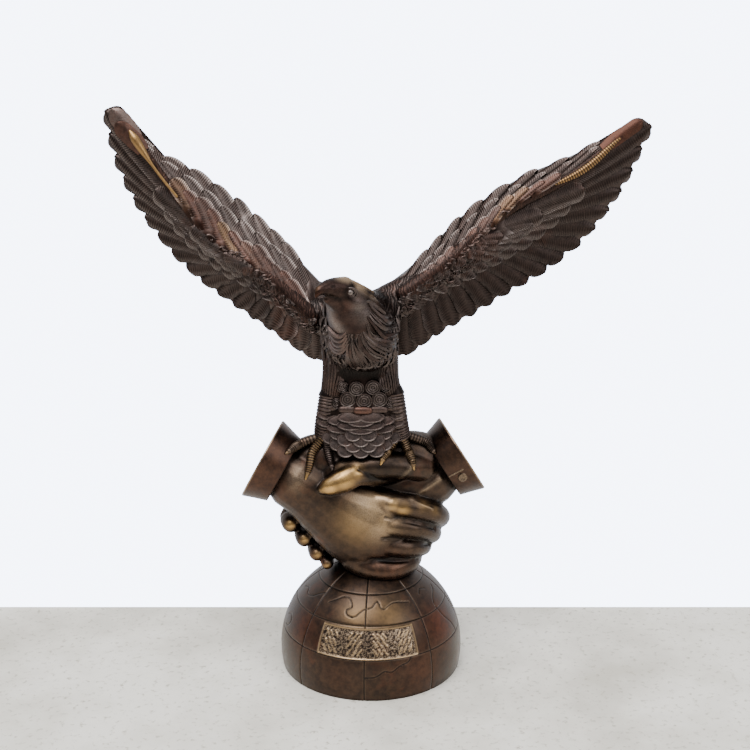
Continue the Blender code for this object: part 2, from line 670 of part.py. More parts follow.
def add_wing_core(bm, wing):
    rings = []
    shoulder = Vector((-wing.side * WING_ROOT_DEPTH, 0.0, -WING_ROOT_DEPTH * 0.4))
    for i in range(21):
        share = i / 20
        ridge = wing.along("ridge", share)
        below = [mix(ridge, wing.along("trailing", share), fall) for fall in (0.3, 0.6, 0.95)]
        above = [mix(ridge, wing.along("leading", share), fall) for fall in (0.96, 0.5)]
        spots = above + [ridge] + below
        ring = [wing.skin(spot) for spot in spots]
        ring += [wing.skin(spot, back=True) for spot in reversed(spots)]
        rings.append([on_eagle(point) for point in ring])
        if i == 0:
            rings.insert(0, [on_eagle(point + shoulder) for point in ring])
    loft(bm, rings)
    stations = [(0.0, *SHOULDER_START)]
    for share, radius in SHOULDER:
        place = wing.skin(wing.along("ridge", share), lift=-radius * 0.7)
        stations.append((*place, radius, radius * 0.8))
    tube(bm, eagle_stations(stations))


def row_shares(count):
    """Where a row's feathers end along the wing's edge: a little closer together near the body."""
    return [((k + 0.75) / (count - 0.25)) ** 1.08 for k in range(count)]


def spacing(wing, share, count):
    return math.dist(wing.along("trailing", share), wing.along("trailing", share - 1 / count))


def add_wing_rows(bm, wing):
    """Flight feathers and the rows of coverts that overlap them from above."""
    for count, start, end, lift, thickness in (FLIGHT_ROW, *COVERT_ROWS):
        for share in row_shares(count):

            def axis(s, share=share, start=start, end=end, lift=lift):
                return wing.skin(wing.spot(share, start + (end - start) * s), lift=lift * (0.4 + 0.6 * s))

            half_width = spacing(wing, share, count) * (0.62 - 0.10 * (1.0 - end))
            add_feather(bm, axis, half_width, FEATHER_TILT, thickness)


def add_leading_rows(bm, wing):
    """Feathers above the ridge, which point to the wing's tip, and the smooth blades on its end."""
    for count, low, high, lift, thickness in LEADING_ROWS:
        for k in range(count):
            first = LEADING_START + LEADING_SPREAD * k / count
            reach = LEADING_REACH / count

            def axis(s, first=first, reach=reach, low=low, high=high, lift=lift):
                spot = wing.spot(first + reach * s, -(low + (high - low) * s))
                return wing.skin(spot, lift=lift * (0.4 + 0.6 * s))

            room = math.dist(wing.along("leading", first), wing.along("ridge", first))
            add_feather(bm, axis, max(LEADING_LEAST, room * LEADING_WIDTH), 0.0, thickness, rows=5)
    for first, last, half_width, lift in TIP_BLADES:

        def axis(s, first=first, last=last, lift=lift):
            return wing.skin(wing.along("ridge", first + (last - first) * s), lift=lift)

        add_feather(bm, axis, half_width, 0.0, lift + 4.0)


def add_wing_back(bm, wing):
    """The plainer rows on the back."""
    for count, start, end, lift, thickness in BACK_ROWS:
        for share in row_shares(count):

            def axis(s, share=share, start=start, end=end, lift=lift):
                spot = wing.spot(share, start + (end - start) * s)
                return wing.skin(spot, back=True, lift=lift * (0.4 + 0.6 * s))

            half_width = spacing(wing, share, count) * 0.6
            add_feather(bm, axis, half_width, -FEATHER_TILT, thickness, rows=5, away=1.0)


def add_tail(bm):
    """A fan of long feathers behind the legs."""
    for k in range(TAIL_FEATHERS):
        turn = 2 * k / (TAIL_FEATHERS - 1) - 1
        root = (turn * TAIL_ROOT[0], *TAIL_ROOT[1:])
        back, up = TAIL_SPREAD
        tip = (turn * TAIL_TIP[0], TAIL_TIP[1] - back * abs(turn), TAIL_TIP[2] + up * turn**2)

        def axis(s, root=root, tip=tip):
            return Vector(mix(root, tip, s))

        add_feather(bm, axis, TAIL_HALF_WIDTH, 0.0, TAIL_THICKNESS, away=1.0)
    tube(bm, eagle_stations(TAIL))


def add_belly_scales(bm):
    """Rows of round scales over the lower belly, each row over the next one down."""
    x, y, z = SCALE_START
    for row in range(SCALE_ROWS):
        count = 5 + (row % 2)
        for k in range(count):
            turn = (k - (count - 1) / 2) * SCALE_STEP
            centre = on_eagle((x + turn, y + SCALE_FALL * turn**2, z + row * SCALE_ROW_STEP))
            ball(bm, centre, tuple(v * EAGLE_SCALE for v in SCALE_SIZE))


def skin_tree(mesh):
    return BVHTree.FromPolygons([v.co for v in mesh.vertices], [p.vertices for p in mesh.polygons])


def neck_spot(angle, height):
    """A point on the neck's outside, by degrees from straight ahead."""
    rows = sorted(NECK, key=lambda row: row[2])
    height = max(rows[0][2], min(rows[-1][2], height))
    for low, high in zip(rows, rows[1:]):
        if height <= high[2]:
            x, y, z, wide, thin = mix(low, high, (height - low[2]) / (high[2] - low[2]))
            break
    turn = math.radians(angle)
    return Vector((x + math.sin(turn) * wide, y - math.cos(turn) * thin, z))


def add_hackles(bm, body):
    """Rows of long pointed locks laid on the neck, which run down and back over the shoulders."""
    tree = skin_tree(body)
    for count, top, fall, first, last, drift in HACKLE_ROWS:
        for k in range(count):
            root = first + (last - first) * k / (count - 1)
            stations = []
            for share, size, off in LOCK_SIZES:
                guess = neck_spot(root + drift * share, top - fall * share)
                spot, normal, _, _ = tree.find_nearest(on_eagle(guess))
                place = spot + normal * (size * off * EAGLE_SCALE)
                stations.append((*place, size * EAGLE_SCALE, size * 0.8 * EAGLE_SCALE))
            tube(bm, stations, sides=6, facing=normal, steps=2)


def add_toes(bm, hands):
    """Toes laid on the hands' skin, so that they hold whatever the hands' size."""
    tree = skin_tree(hands)
    for root, middle, tip in TOES:
        stations = [(*on_eagle(root), TOE_ROOT * EAGLE_SCALE, TOE_ROOT * EAGLE_SCALE)]
        laid = ((middle, TOE_ROOT, 0.45), (mix(middle, tip, 0.6), TOE_END, 0.5), (tip, CLAW_END, 0.6))
        for point, radius, off in laid:
            spot, normal, _, _ = tree.find_nearest(on_eagle(point))
            place = spot + normal * (radius * off * EAGLE_SCALE)
            stations.append((*place, radius * EAGLE_SCALE, radius * EAGLE_SCALE))
        tube(bm, stations, sides=8)


def make_eagle(hands):
    soft = bmesh.new()
    for stations in (TORSO, NECK, *THIGHS, *SHANKS):
        tube(soft, eagle_stations(stations), sides=16)
    slope = Matrix.Rotation(math.radians(SKULL_SLOPE), 4, "Y")
    ball(soft, on_eagle(SKULL[0]), tuple(v * EAGLE_SCALE for v in SKULL[1]), slope)
    body = fused([soft], EAGLE_GRAIN * 1.4, 3)
    body_skin = bpy.data.meshes.new("body_skin")
    body.to_mesh(body_skin)
    carving = bmesh.new()
    for stations in (BEAK, JAW, CROWN, TUFT):
        tube(carving, eagle_stations(stations), sides=12)
    ball(carving, on_eagle(EYE[0]), (EYE[1] * EAGLE_SCALE,) * 3)
    add_belly_scales(carving)
    add_hackles(carving, body_skin)
    add_tail(carving)
    add_toes(carving, hands)
    shapes = [body, carving]
    for wing in (Wing(1.0, RIGHT_WING), Wing(-1.0, LEFT_WING)):
        for add in (add_wing_core, add_wing_rows, add_leading_rows, add_wing_back):
            shapes.append(bmesh.new())
            add(shapes[-1], wing)
    mesh = thinned(fused(shapes, EAGLE_GRAIN, 1), EAGLE_FACES)
    return largest_body(cut_by(mesh, grown(hands, GAP * 2)))


def main():
    for obj in list(bpy.data.objects):
        bpy.data.objects.remove(obj)
    globe = make_globe()
    hands = make_hands()
    eagle = make_eagle(hands)
    add_piece("globe_base", globe, (0.105, 0.056, 0.030), 0.42)
    add_piece("clasped_hands", hands, (0.135, 0.076, 0.038), 0.36)
    add_piece("eagle", eagle, (0.080, 0.048, 0.033), 0.48)


main()
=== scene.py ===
"""Finish of a cast copper statue: an eagle with raised wings on clasped hands, on half a globe.

The three castings take the place of the frame's plain ones, at the same size and in the same place, with
their fine carving: feathers with barbs, hackles, scales, ringed toes, sleeves with a button, and the
globe's engraved lines and name plate. +X is to the viewer's right, +Y away from the viewer, +Z up.
"""

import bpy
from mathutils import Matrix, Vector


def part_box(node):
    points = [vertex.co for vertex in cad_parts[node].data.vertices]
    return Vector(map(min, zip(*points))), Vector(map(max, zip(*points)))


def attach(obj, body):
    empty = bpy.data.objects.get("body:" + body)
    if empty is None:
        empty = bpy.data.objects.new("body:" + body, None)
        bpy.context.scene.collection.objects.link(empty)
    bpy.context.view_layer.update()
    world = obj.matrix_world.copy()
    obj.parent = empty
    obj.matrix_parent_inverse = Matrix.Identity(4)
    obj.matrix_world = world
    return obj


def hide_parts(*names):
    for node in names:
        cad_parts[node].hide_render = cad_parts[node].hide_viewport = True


bl_info = {
    "name": "Copper Eagle Statue",
    "version": (1, 0, 0),
    "blender": (4, 5, 0),
    "location": "View3D > Sidebar > Statue",
    "description": "Models and finishes the castings of an eagle statue in patinated copper",
    "category": "Object",
}

import bisect
import math
import random
from typing import NamedTuple

import bmesh
import bpy
import numpy as np
from bpy.props import FloatProperty, FloatVectorProperty, PointerProperty
from mathutils import Matrix, Vector
from mathutils.bvhtree import BVHTree

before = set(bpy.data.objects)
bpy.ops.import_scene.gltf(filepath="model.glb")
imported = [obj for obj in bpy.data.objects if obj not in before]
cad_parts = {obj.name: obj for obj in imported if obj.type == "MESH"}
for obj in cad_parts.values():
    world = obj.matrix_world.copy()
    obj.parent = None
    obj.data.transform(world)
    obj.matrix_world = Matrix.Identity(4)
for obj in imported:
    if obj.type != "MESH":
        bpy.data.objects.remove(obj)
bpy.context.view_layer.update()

VIEWER = Vector((0.0, -1.0, 0.0))
MILLIMETRE = 0.001
FAR_AWAY = 1e9

# How deep a hollow lies under its surroundings where its colour is darkened most, in metres
HAND_HOLLOW = 0.0007
BODY_HOLLOW = 0.0006
HEAD_HOLLOW = 0.0005
HAND_SWELL = 0.0009  # how far a place stands out where the hands are worn most

GLOBE_LOW, GLOBE_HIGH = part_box("globe_base")


class Marks(NamedTuple):
    """How much a point is darkened by hollows and painted shade, paled by wear and painted highlights, rubbed
    to gold, reddish and covered in curls.
    """

    cavity: float = 0.0
    rub: float = 0.0
    gold: float = 0.0
    warm: float = 0.0
    curl: float = 0.0


MARKS = Marks._fields


# Curves

def linear(hex_code):
    """An sRGB hex colour as the linear values that shaders take."""
    values = [int(hex_code[i:i + 2], 16) / 255 for i in (1, 3, 5)]
    return tuple(v / 12.92 if v <= 0.04045 else ((v + 0.055) / 1.055) ** 2.4 for v in values)


def mix(a, b, share):
    return tuple(p + (q - p) * share for p, q in zip(a, b))


def smoothstep(low, high, value):
    share = min(1.0, max(0.0, (value - low) / (high - low)))
    return share * share * (3.0 - 2.0 * share)


def smooth_path(points, steps):
    """Catmull-Rom curve through rows of numbers, with steps stretches between two neighbours."""
    ends = [mix(points[1], points[0], 2.0)] + list(points) + [mix(points[-2], points[-1], 2.0)]
    path = []
    for i in range(1, len(ends) - 2):
        before, here, there, after = ends[i - 1:i + 3]
        for k in range(steps):
            t = k / steps
            path.append(tuple(
                b + 0.5 * t * (c - a + t * (2 * a - 5 * b + 4 * c - d + t * (3 * (b - c) + d - a)))
                for a, b, c, d in zip(before, here, there, after)
            ))
    path.append(tuple(points[-1]))
    return path


class Drawing:
    """A drawing in millimetres, set at its real place and size."""

    def __init__(self, seat, scale):
        self.seat = Vector(seat)
        self.scale = scale

    def place(self, point):
        return self.seat + Vector(point) * self.scale

    def stations(self, rows):
        return [(*self.place(row[:3]), row[3] * self.scale, row[4] * self.scale) for row in rows]


# Closed shapes in bmesh

def new_shape():
    bm = bmesh.new()
    for name in MARKS:
        bm.verts.layers.float.new(name)
    return bm


def set_marks(bm, **values):
    for name, value in values.items():
        layer = bm.verts.layers.float[name]
        for vert in bm.verts:
            vert[layer] = value


def sheet(bm, rows):
    """A grid of faces laid through rows of points. Returns its vertices, row after row."""
    count = len(rows[0])
    made = bmesh.ops.create_grid(bm, x_segments=count - 1, y_segments=len(rows) - 1, size=1.0)
    verts = made["verts"]
    for vert, point in zip(verts, (p for row in rows for p in row)):
        vert.co = point
    return verts


def loft(rings, marks=None):
    """A closed shape through rings of points, which all have as many points.

    marks gives the values of MARKS for each point of each ring.
    """
    bm = new_shape()
    verts = sheet(bm, [list(ring) + [ring[0]] for ring in rings])
    count = len(rings[0]) + 1
    if marks:
        layers = [bm.verts.layers.float[name] for name in MARKS]
        for vert, values in zip(verts, (v for ring in marks for v in [*ring, ring[0]])):
            for layer, value in zip(layers, values):
                vert[layer] = value
    seam = {}
    for i in range(len(rings)):
        seam[verts[i * count + count - 1]] = verts[i * count]
    ends = (verts[:count - 1], verts[-count:-1])
    bmesh.ops.weld_verts(bm, targetmap=seam)
    for ring in ends:
        bmesh.ops.contextual_create(bm, geom=list(ring))
    return bm


def tube(stations, sides=12, facing=VIEWER, steps=3, ribs=0.0, period=2, marks=Marks()):
    """A round-ended limb through stations of x, y, z, half width and half thickness.

    The half width lies across the line of sight and the half thickness along facing. Each ring whose
    number is a multiple of period stands back by ribs, as a share of its size.
    """
    path = smooth_path(stations, steps)
    spots = [(Vector(p[:3]), p[3], p[4]) for p in path]
    rings = []
    values = []
    last = len(spots) - 1
    for i, (centre, wide, thin) in enumerate(spots):
        ahead = (spots[min(i + 1, last)][0] - spots[max(i - 1, 0)][0]).normalized()
        front = (facing - ahead * facing.dot(ahead)).normalized()
        side = ahead.cross(front)
        low = bool(ribs) and i % period == 0
        if i == 0:
            caps = [(-0.9, 0.42), (-0.6, 0.8), (0.0, 1.0)]
        elif i == last:
            caps = [(0.0, 1.0), (0.6, 0.8), (0.9, 0.42)]
        else:
            caps = [(0.0, 1.0 - ribs * low)]
        ring_marks = marks._replace(
            cavity=max(marks.cavity, 0.9 * low), rub=marks.rub * (1 - low),
            gold=marks.gold * (1 - 0.8 * low),
        )
        for out, share in caps:
            middle = centre + ahead * (out * min(wide, thin))
            rings.append([
                middle + side * (math.cos(a) * wide * share) + front * (math.sin(a) * thin * share)
                for a in (2 * math.pi * k / sides for k in range(sides))
            ])
            values.append([ring_marks] * sides)
    return loft(rings, values)


def ball(centre, radii, turn=Matrix(), fineness=3, **marks):
    bm = new_shape()
    matrix = Matrix.Translation(centre) @ turn @ Matrix.Diagonal((*radii, 1.0))
    bmesh.ops.create_icosphere(bm, subdivisions=fineness, radius=1.0, matrix=matrix)
    set_marks(bm, **marks)
    return bm


def turned(stand, profile, steps):
    """A body of revolution: radius and height rows, turned about the stand's own upright."""
    bm = new_shape()
    verts = [bm.verts.new(stand @ Vector((radius, 0.0, height))) for radius, height in profile]
    edges = [bm.edges.new(pair) for pair in zip(verts, verts[1:])]
    axis = stand.to_3x3() @ Vector((0.0, 0.0, 1.0))
    bmesh.ops.spin(
        bm, geom=verts + edges, cent=stand.translation, axis=axis,
        angle=2 * math.pi, steps=steps, use_merge=True,
    )
    bmesh.ops.remove_doubles(bm, verts=bm.verts, dist=1e-6)
    return bm


def to_mesh(bm, name):
    mesh = bpy.data.meshes.new(name)
    bm.to_mesh(mesh)
    bm.free()
    return mesh


def joined(shapes):
    """Several shapes in one bmesh, each with its faces turned outwards."""
    whole = new_shape()
    for bm in shapes:
        bmesh.ops.recalc_face_normals(bm, faces=bm.faces)
        mesh = to_mesh(bm, "shape")
        whole.from_mesh(mesh)
        bpy.data.meshes.remove(mesh)
    return whole


def evaluated(mesh, kind, settings):
    """A mesh as one modifier leaves it."""
    obj = bpy.data.objects.new("working", mesh)
    bpy.context.scene.collection.objects.link(obj)
    modifier = obj.modifiers.new("shape", kind)
    for name, value in settings.items():
        setattr(modifier, name, value)
    graph = bpy.context.evaluated_depsgraph_get()
    result = bpy.data.meshes.new_from_object(obj.evaluated_get(graph))
    bpy.data.objects.remove(obj)
    return result


def fused(shapes, grain, rounds):
    """Overlapping closed shapes made one skin, then smoothed in rounds."""
    loose = joined(shapes)
    mesh = evaluated(to_mesh(loose, "loose"), "REMESH", {"mode": "VOXEL", "voxel_size": grain})
    skin = new_shape()
    skin.from_mesh(mesh)
    for _ in range(rounds):
        bmesh.ops.smooth_vert(
            skin, verts=skin.verts, factor=0.5, use_axis_x=True, use_axis_y=True, use_axis_z=True
        )
    return skin


def skin_tree(shapes):
    whole = bmesh.new()
    for bm in shapes:
        mesh = bpy.data.meshes.new("skin")
        bm.to_mesh(mesh)
        whole.from_mesh(mesh)
        bpy.data.meshes.remove(mesh)
    tree = BVHTree.FromBMesh(whole)
    whole.free()
    return tree


# Work on the vertices of a fine skin, as arrays

class Skin:
    """The points of a bmesh as an array, to be carved and marked all at once."""

    def __init__(self, bm):
        self.bm = bm
        bm.verts.ensure_lookup_table()
        bm.verts.index_update()
        bm.normal_update()
        self.points = np.array([v.co for v in bm.verts])
        self.normals = np.array([v.normal for v in bm.verts])
        self.edges = np.array([(e.verts[0].index, e.verts[1].index) for e in bm.edges])
        self.marks = {name: np.zeros(len(self.points)) for name in MARKS}

    def smoothed(self, values, rounds):
        """Each value as the mean of its neighbours' values, in rounds."""
        a, b = self.edges.T
        size = len(self.points)
        count = np.maximum(np.bincount(a, minlength=size) + np.bincount(b, minlength=size), 1)
        for _ in range(rounds):
            total = np.bincount(a, values[b], size) + np.bincount(b, values[a], size)
            values = total / count
        return values

    def relief(self, rounds):
        """How far each point lies under its surroundings: above zero in a hollow."""
        flat = np.stack([self.smoothed(self.points[:, k].copy(), rounds) for k in range(3)], axis=1)
        return np.einsum("ij,ij->i", flat - self.points, self.normals)

    def reach(self, path):
        """The distance of each point from a line through points."""
        near = np.full(len(self.points), FAR_AWAY)
        for a, b in zip(path, path[1:]):
            a = np.array(a)
            run = np.array(b) - a
            share = np.clip((self.points - a) @ run / max(run @ run, 1e-12), 0.0, 1.0)
            near = np.minimum(near, np.linalg.norm(self.points - a - share[:, None] * run, axis=1))
        return near

    def carve(self, path, width, depth):
        """A soft groove along a path, or a ridge where the depth is below zero."""
        share = np.exp(-(self.reach(path) / width) ** 2)
        self.points -= self.normals * (share * depth)[:, None]
        return share

    def push(self, amount):
        self.points += self.normals * amount[:, None]

    def paint(self, name, amount):
        self.marks[name] = np.clip(self.marks[name] + amount, 0.0, 1.0)

    def near(self, drawing, spots):
        """How strongly each point is reached by soft round spots of place, reach and strength."""
        total = np.zeros(len(self.points))
        for place, reach, strength in spots:
            gap = np.linalg.norm(self.points - np.array(drawing.place(place)), axis=1)
            total = np.maximum(total, strength * np.exp(-(gap / (reach * drawing.scale)) ** 2))
        return total

    def write(self):
        layers = {name: self.bm.verts.layers.float[name] for name in MARKS}
        for vert, point in zip(self.bm.verts, self.points):
            vert.co = point
        for name, layer in layers.items():
            values = self.marks[name]
            for vert in self.bm.verts:
                vert[layer] = values[vert.index]
        return self.bm


def finished_piece(name, bm, material, node):
    """A bmesh as a finished casting, in the place of the frame's plain one."""
    mesh = to_mesh(bm, name)
    mesh.shade_smooth()
    mesh.set_sharp_from_angle(angle=math.radians(50))
    mesh.materials.append(material)
    piece = bpy.data.objects.new(name, mesh)
    bpy.context.scene.collection.objects.link(piece)
    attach(piece, "root")
    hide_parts(node)
    return piece


# Globe

PARALLELS = (15.0, 35.4, 55.3)  # latitudes of the engraved circles, in degrees
MERIDIANS = 8
MERIDIAN_START = -4.0  # degrees, from straight ahead towards +X
PLATE = (-35.9, 31.4, 15.0, 34.1)  # name plate: its west, east, bottom and top edge in degrees
TOP_LATITUDE = 80.0  # where the globe is closed, under the hands
FRONT_REACH = 88.0  # degrees to each side of straight ahead that are meshed finely
# Coast lines of lands that are nowhere, by longitude and latitude
COASTS = (
    ((-40, 46), (-34, 49), (-28.5, 51.8), (-22, 52), (-17.8, 48.6), (-16.9, 46), (-20.8, 44.2),
     (-20.5, 41.8), (-17.2, 40.2), (-12.5, 40.4), (-9.3, 43), (-5.3, 45.3), (1.3, 46.8), (4.7, 50.1),
     (7.4, 50.2), (9, 46.4), (12.3, 45.6), (16.4, 47.5), (23, 48.9), (36, 47)),
    ((-84, 44), (-76, 46), (-70, 43), (-61, 44.9), (-56, 48), (-50, 50.5)),
    ((-80, 24), (-74, 26), (-70, 23), (-73, 19), (-78, 18)),
    ((78, 48), (74, 45.5), (66, 43), (61, 39), (62, 33), (65, 28), (70, 22), (73, 16)),
    ((52, 49), (57, 51.5), (64, 50)),
    ((26, 15), (23.6, 12), (18, 10.5), (13, 7.4), (8.4, 8.2), (3, 5), (-3.8, 4.4)),
    ((104, 44), (118, 50), (131, 46), (127, 38), (140, 31), (158, 36), (171, 30), (176, 20)),
    ((-170, 12), (-158, 24), (-149, 37), (-134, 42), (-121, 34), (-112, 38), (-100, 30)),
)
# Reddish and gold-brown patches: longitude, latitude, reach in degrees and strength
PATCHES = {
    "warm": (
        (-53, 25, 11, 0.55), (57, 27, 12, 0.9), (33, 5, 15, 0.25), (-22, 4, 13, 0.1), (150, 30, 20, 0.4),
    ),
    "gold": ((-12, 40, 9, 0.12), (14, 41, 10, 0.14)),
}
# The plate's inscription: groups of short strokes in rows, at no letter's angles
STROKE_GROUPS = 4
STROKE_ROWS = (0.26, 0.50, 0.74)
STROKE_STEP = 3.3  # degrees between two strokes of a row
STROKE_HALF_WIDTH = 1.2  # degrees from a stroke's middle to its end, across and up
STROKE_HALF_HEIGHT = 1.5
FRONT_LINES = 80.0  # degrees to each side within which the fine mesh follows the engraved lines
LINE_BED = (0.35, 0.8)  # where points lie beside an engraved line, as shares of its width
PALE_GRIT = 0.45  # share of the plate's ground that is worn pale


class Globe:
    """The half globe's skin, by degrees of longitude and latitude."""

    def __init__(self, sizes):
        self.radius = sizes.globe_radius
        foot = self.radius - sizes.foot_tuck
        self.centre = Vector((0.0, 0.0, math.sqrt(self.radius**2 - foot**2)))
        self.degree = math.degrees(1.0 / self.radius)  # degrees of arc in a metre of its skin
        self.meridians = [MERIDIAN_START + 360 / MERIDIANS * k for k in range(-4, 5)]

    def spot(self, longitude, latitude):
        east = math.radians(longitude)
        north = math.radians(latitude)
        way = Vector((math.sin(east) * math.cos(north), -math.cos(east) * math.cos(north), math.sin(north)))
        return self.centre + way * self.radius

    def line(self, points):
        return [self.spot(*point) for point in smooth_path(points, 3)]

    def bearings(self, points):
        """The longitude and latitude of each point."""
        ways = (points - np.array(self.centre)) / self.radius
        east = np.degrees(np.arctan2(ways[:, 0], -ways[:, 1]))
        return east, np.degrees(np.arcsin(np.clip(ways[:, 2], -1, 1)))


def spread(start, end, step, creases, widths):
    """Values from start to end about a step apart, with closer ones on both sides of each crease."""
    count = max(1, round((end - start) / step))
    values = [start + (end - start) * k / count for k in range(count + 1)]
    guard = max(widths) * 1.5
    kept = [v for v in values if all(abs(v - c) > guard for c in creases) or v in (start, end)]
    for crease in creases:
        if start < crease < end:
            kept += [crease] + [crease + s * w for w in widths for s in (-1, 1)]
    return sorted(kept)


def stroke_lines(globe):
    """The plate's strokes: rows of short slanted lines in groups."""
    west, east, bottom, top = PLATE
    lines = []
    chance = random.Random(7)
    for group in range(STROKE_GROUPS):
        middle = west + (east - west) * (group + 0.5) / STROKE_GROUPS
        for share in STROKE_ROWS:
            slant = STROKE_HALF_WIDTH * (-1, 1)[group % 2]
            for k in (-1, 0, 1):
                longitude = middle + k * STROKE_STEP + chance.uniform(-0.4, 0.4)
                latitude = bottom + (top - bottom) * share + chance.uniform(-0.3, 0.3)
                lines.append([
                    globe.spot(longitude + end * slant, latitude + end * STROKE_HALF_HEIGHT)
                    for end in (-1, 1)
                ])
    return lines


def globe_shape(globe, sizes):
    """The plain globe, with its finest mesh on the front and beside the engraved lines."""
    step = sizes.globe_grain * globe.degree
    beside = [sizes.groove_width * globe.degree * share for share in LINE_BED]
    ahead = [m for m in globe.meridians if abs(m) < FRONT_LINES]
    longitudes = spread(-FRONT_REACH, FRONT_REACH, step * 1.15, ahead, beside)
    behind = {m % 360 for m in globe.meridians if FRONT_REACH < m % 360 < 360 - FRONT_REACH}
    longitudes += spread(FRONT_REACH, 360 - FRONT_REACH, step * 2, sorted(behind), beside)[1:-1]
    foot = -math.degrees(math.asin(globe.centre.z / globe.radius))
    latitudes = spread(foot, TOP_LATITUDE, step, PARALLELS, beside)
    bm = loft([[globe.spot(longitude, latitude) for longitude in longitudes] for latitude in latitudes])
    bmesh.ops.recalc_face_normals(bm, faces=bm.faces)
    return bm


def from_plate_edge(globe, east, north):
    """How far inside the plate's edge each longitude and latitude lies, and below zero outside it."""
    west_edge, east_edge, bottom_edge, top_edge = PLATE
    return np.minimum(
        np.minimum(east - west_edge, east_edge - east) * np.cos(np.radians(north)),
        np.minimum(north - bottom_edge, top_edge - north),
    ) / globe.degree


def from_lines(globe, skin, east, north):
    """How far each point lies from the nearest engraved line."""
    gap = np.full(len(skin.points), FAR_AWAY)
    for latitude in PARALLELS:
        gap = np.minimum(gap, np.abs(north - latitude) / globe.degree)
    for meridian in globe.meridians:
        turn = np.abs((east - meridian + 180) % 360 - 180)
        gap = np.minimum(gap, turn * np.cos(np.radians(north)) / globe.degree)
    for coast in COASTS:
        gap = np.minimum(gap, skin.reach(globe.line(coast)))
    return gap


def make_globe(sizes, material):
    globe = Globe(sizes)
    bm = globe_shape(globe, sizes)
    skin = Skin(bm)
    east, north = globe.bearings(skin.points)
    inside = from_plate_edge(globe, east, north)
    off_plate = inside < 0.1 * MILLIMETRE
    gap = from_lines(globe, skin, east, north)
    groove = np.exp(-(gap / (sizes.groove_width * 0.5)) ** 2) * off_plate
    lip = np.exp(-((gap - sizes.groove_width) / (sizes.groove_width * 0.35)) ** 2) * off_plate
    rim = np.exp(-((inside - sizes.plate_rim * 0.5) / (sizes.plate_rim * 0.36)) ** 2)
    ground = inside > sizes.plate_rim
    grit = np.random.default_rng(5).random(len(skin.points))
    pale = ground * (grit > 1.0 - PALE_GRIT)
    strokes = np.zeros(len(skin.points))
    for line in stroke_lines(globe):
        strokes = np.maximum(strokes, np.exp(-(skin.reach(line) / sizes.stroke_width) ** 2))
    strokes *= ground
    height = sizes.plate_height
    skin.push(
        -groove * sizes.groove_depth + rim * height + ground * (grit - 0.5) * height * 0.5
        + strokes * height * 0.7
    )
    skin.paint("cavity", groove + ground * (1.0 - pale) * (1.0 - strokes) * 0.45)
    skin.paint("rub", lip * 0.10 + rim * 0.9 + strokes + pale * 0.7)
    skin.paint("gold", rim * 0.3 + strokes * 0.4)
    for name, patches in PATCHES.items():
        for longitude, latitude, reach, strength in patches:
            turn = ((east - longitude + 180) % 360 - 180) * np.cos(np.radians(north))
            skin.paint(name, strength * np.exp(-(turn**2 + (north - latitude) ** 2) / reach**2) * off_plate)
    skin.write()
    return finished_piece("globe_casting", bm, material, "globe_base")


# Hands, drawn in millimetres from the globe's top: x, y, z, half width, half thickness

HANDS_DRAWN = 228.0  # span of the drawing
NEAR_ARM = (
    (-73, -13, 88, 30, 28), (-58, -14, 76, 30, 26), (-40, -16, 61, 34, 24),
    (-16, -17, 44, 41, 23), (4, -18, 34, 44, 21), (18, -17, 29, 38, 15),
)
FAR_ARM = (
    (60, 10, 84, 30, 28), (46, 8, 76, 31, 27), (25, 8, 63, 35, 24),
    (0, 10, 51, 38, 22), (-25, 13, 41, 36, 18), (-40, 15, 34, 28, 13),
)
NEAR_FINGERS = (
    ((4, -20, 66, 12, 11), (23, -24, 65, 11, 11), (42, -23, 61, 11, 10.5), (60, -15, 53, 10.5, 10.5),
     (67, 2, 42, 10, 10), (62, 18, 33, 10, 10), (48, 30, 28, 8, 8)),
    ((0, -21, 45, 11, 11), (20, -26, 44, 10.5, 10.5), (40, -24, 41, 10.5, 10.5), (54, -13, 34, 10, 10),
     (59, 4, 24, 10, 10), (53, 20, 17, 9.5, 9.5), (40, 31, 14, 8, 8)),
    ((-5, -20, 24, 11, 11), (14, -24, 23, 10, 10), (34, -21, 20, 10, 10), (46, -10, 16, 9.5, 9.5),
     (50, 6, 10, 9.5, 9.5), (44, 21, 6, 8, 8)),
    ((-16, -19, 9, 15, 14), (-2, -26, 1, 11.5, 11.5), (18, -26, -1, 11.5, 11), (35, -14, 0.5, 11, 10.5),
     (41, 4, -2, 9.5, 9.5)),
)
FAR_FINGERS = (
    ((-28, 24, 42, 11, 10), (-60, 22, 47, 10.5, 10.5), (-78, 7, 42, 10, 10), (-77, -9, 39, 9, 9)),
    ((-28, 23, 26, 11, 10), (-50, 20, 31, 10, 10), (-65, 5, 28, 9.5, 9.5), (-64, -12, 25, 8.5, 8.5)),
    ((-22, 20, 12, 10, 10), (-40, 18, 17, 9.5, 9.5), (-53, 3, 14, 9, 9), (-52, -15, 11, 8, 8)),
    ((-14, 18, 0, 9, 9), (-30, 15, 3, 8.5, 8.5), (-43, 2, 2, 7.5, 7.5), (-42, -16, 1, 6.5, 6.5)),
)
FAR_THUMB = (
    (56, 6, 96, 15, 14), (30, 2, 96, 14, 14), (8, -15, 94, 13, 13), (-12, -31, 98, 11.5, 11),
    (-26, -37, 93, 11.5, 10), (-40, -39, 88, 8.5, 7.5), (-45, -40, 86, 5, 4.5),
)
NEAR_THUMB = (
    (-46, -16, 84, 14, 14), (-24, -24, 99, 13, 13), (4, -26, 104, 12, 12), (32, -21, 102, 12, 12),
    (52, -10, 96, 13, 12),
)
SADDLE = (
    (-66, -7, 98, 24, 21), (-48, -6, 104, 25, 22), (-20, -4, 102, 24, 22), (12, -2, 102, 24, 22),
    (40, 2, 104, 25, 22), (58, 6, 98, 24, 21),
)
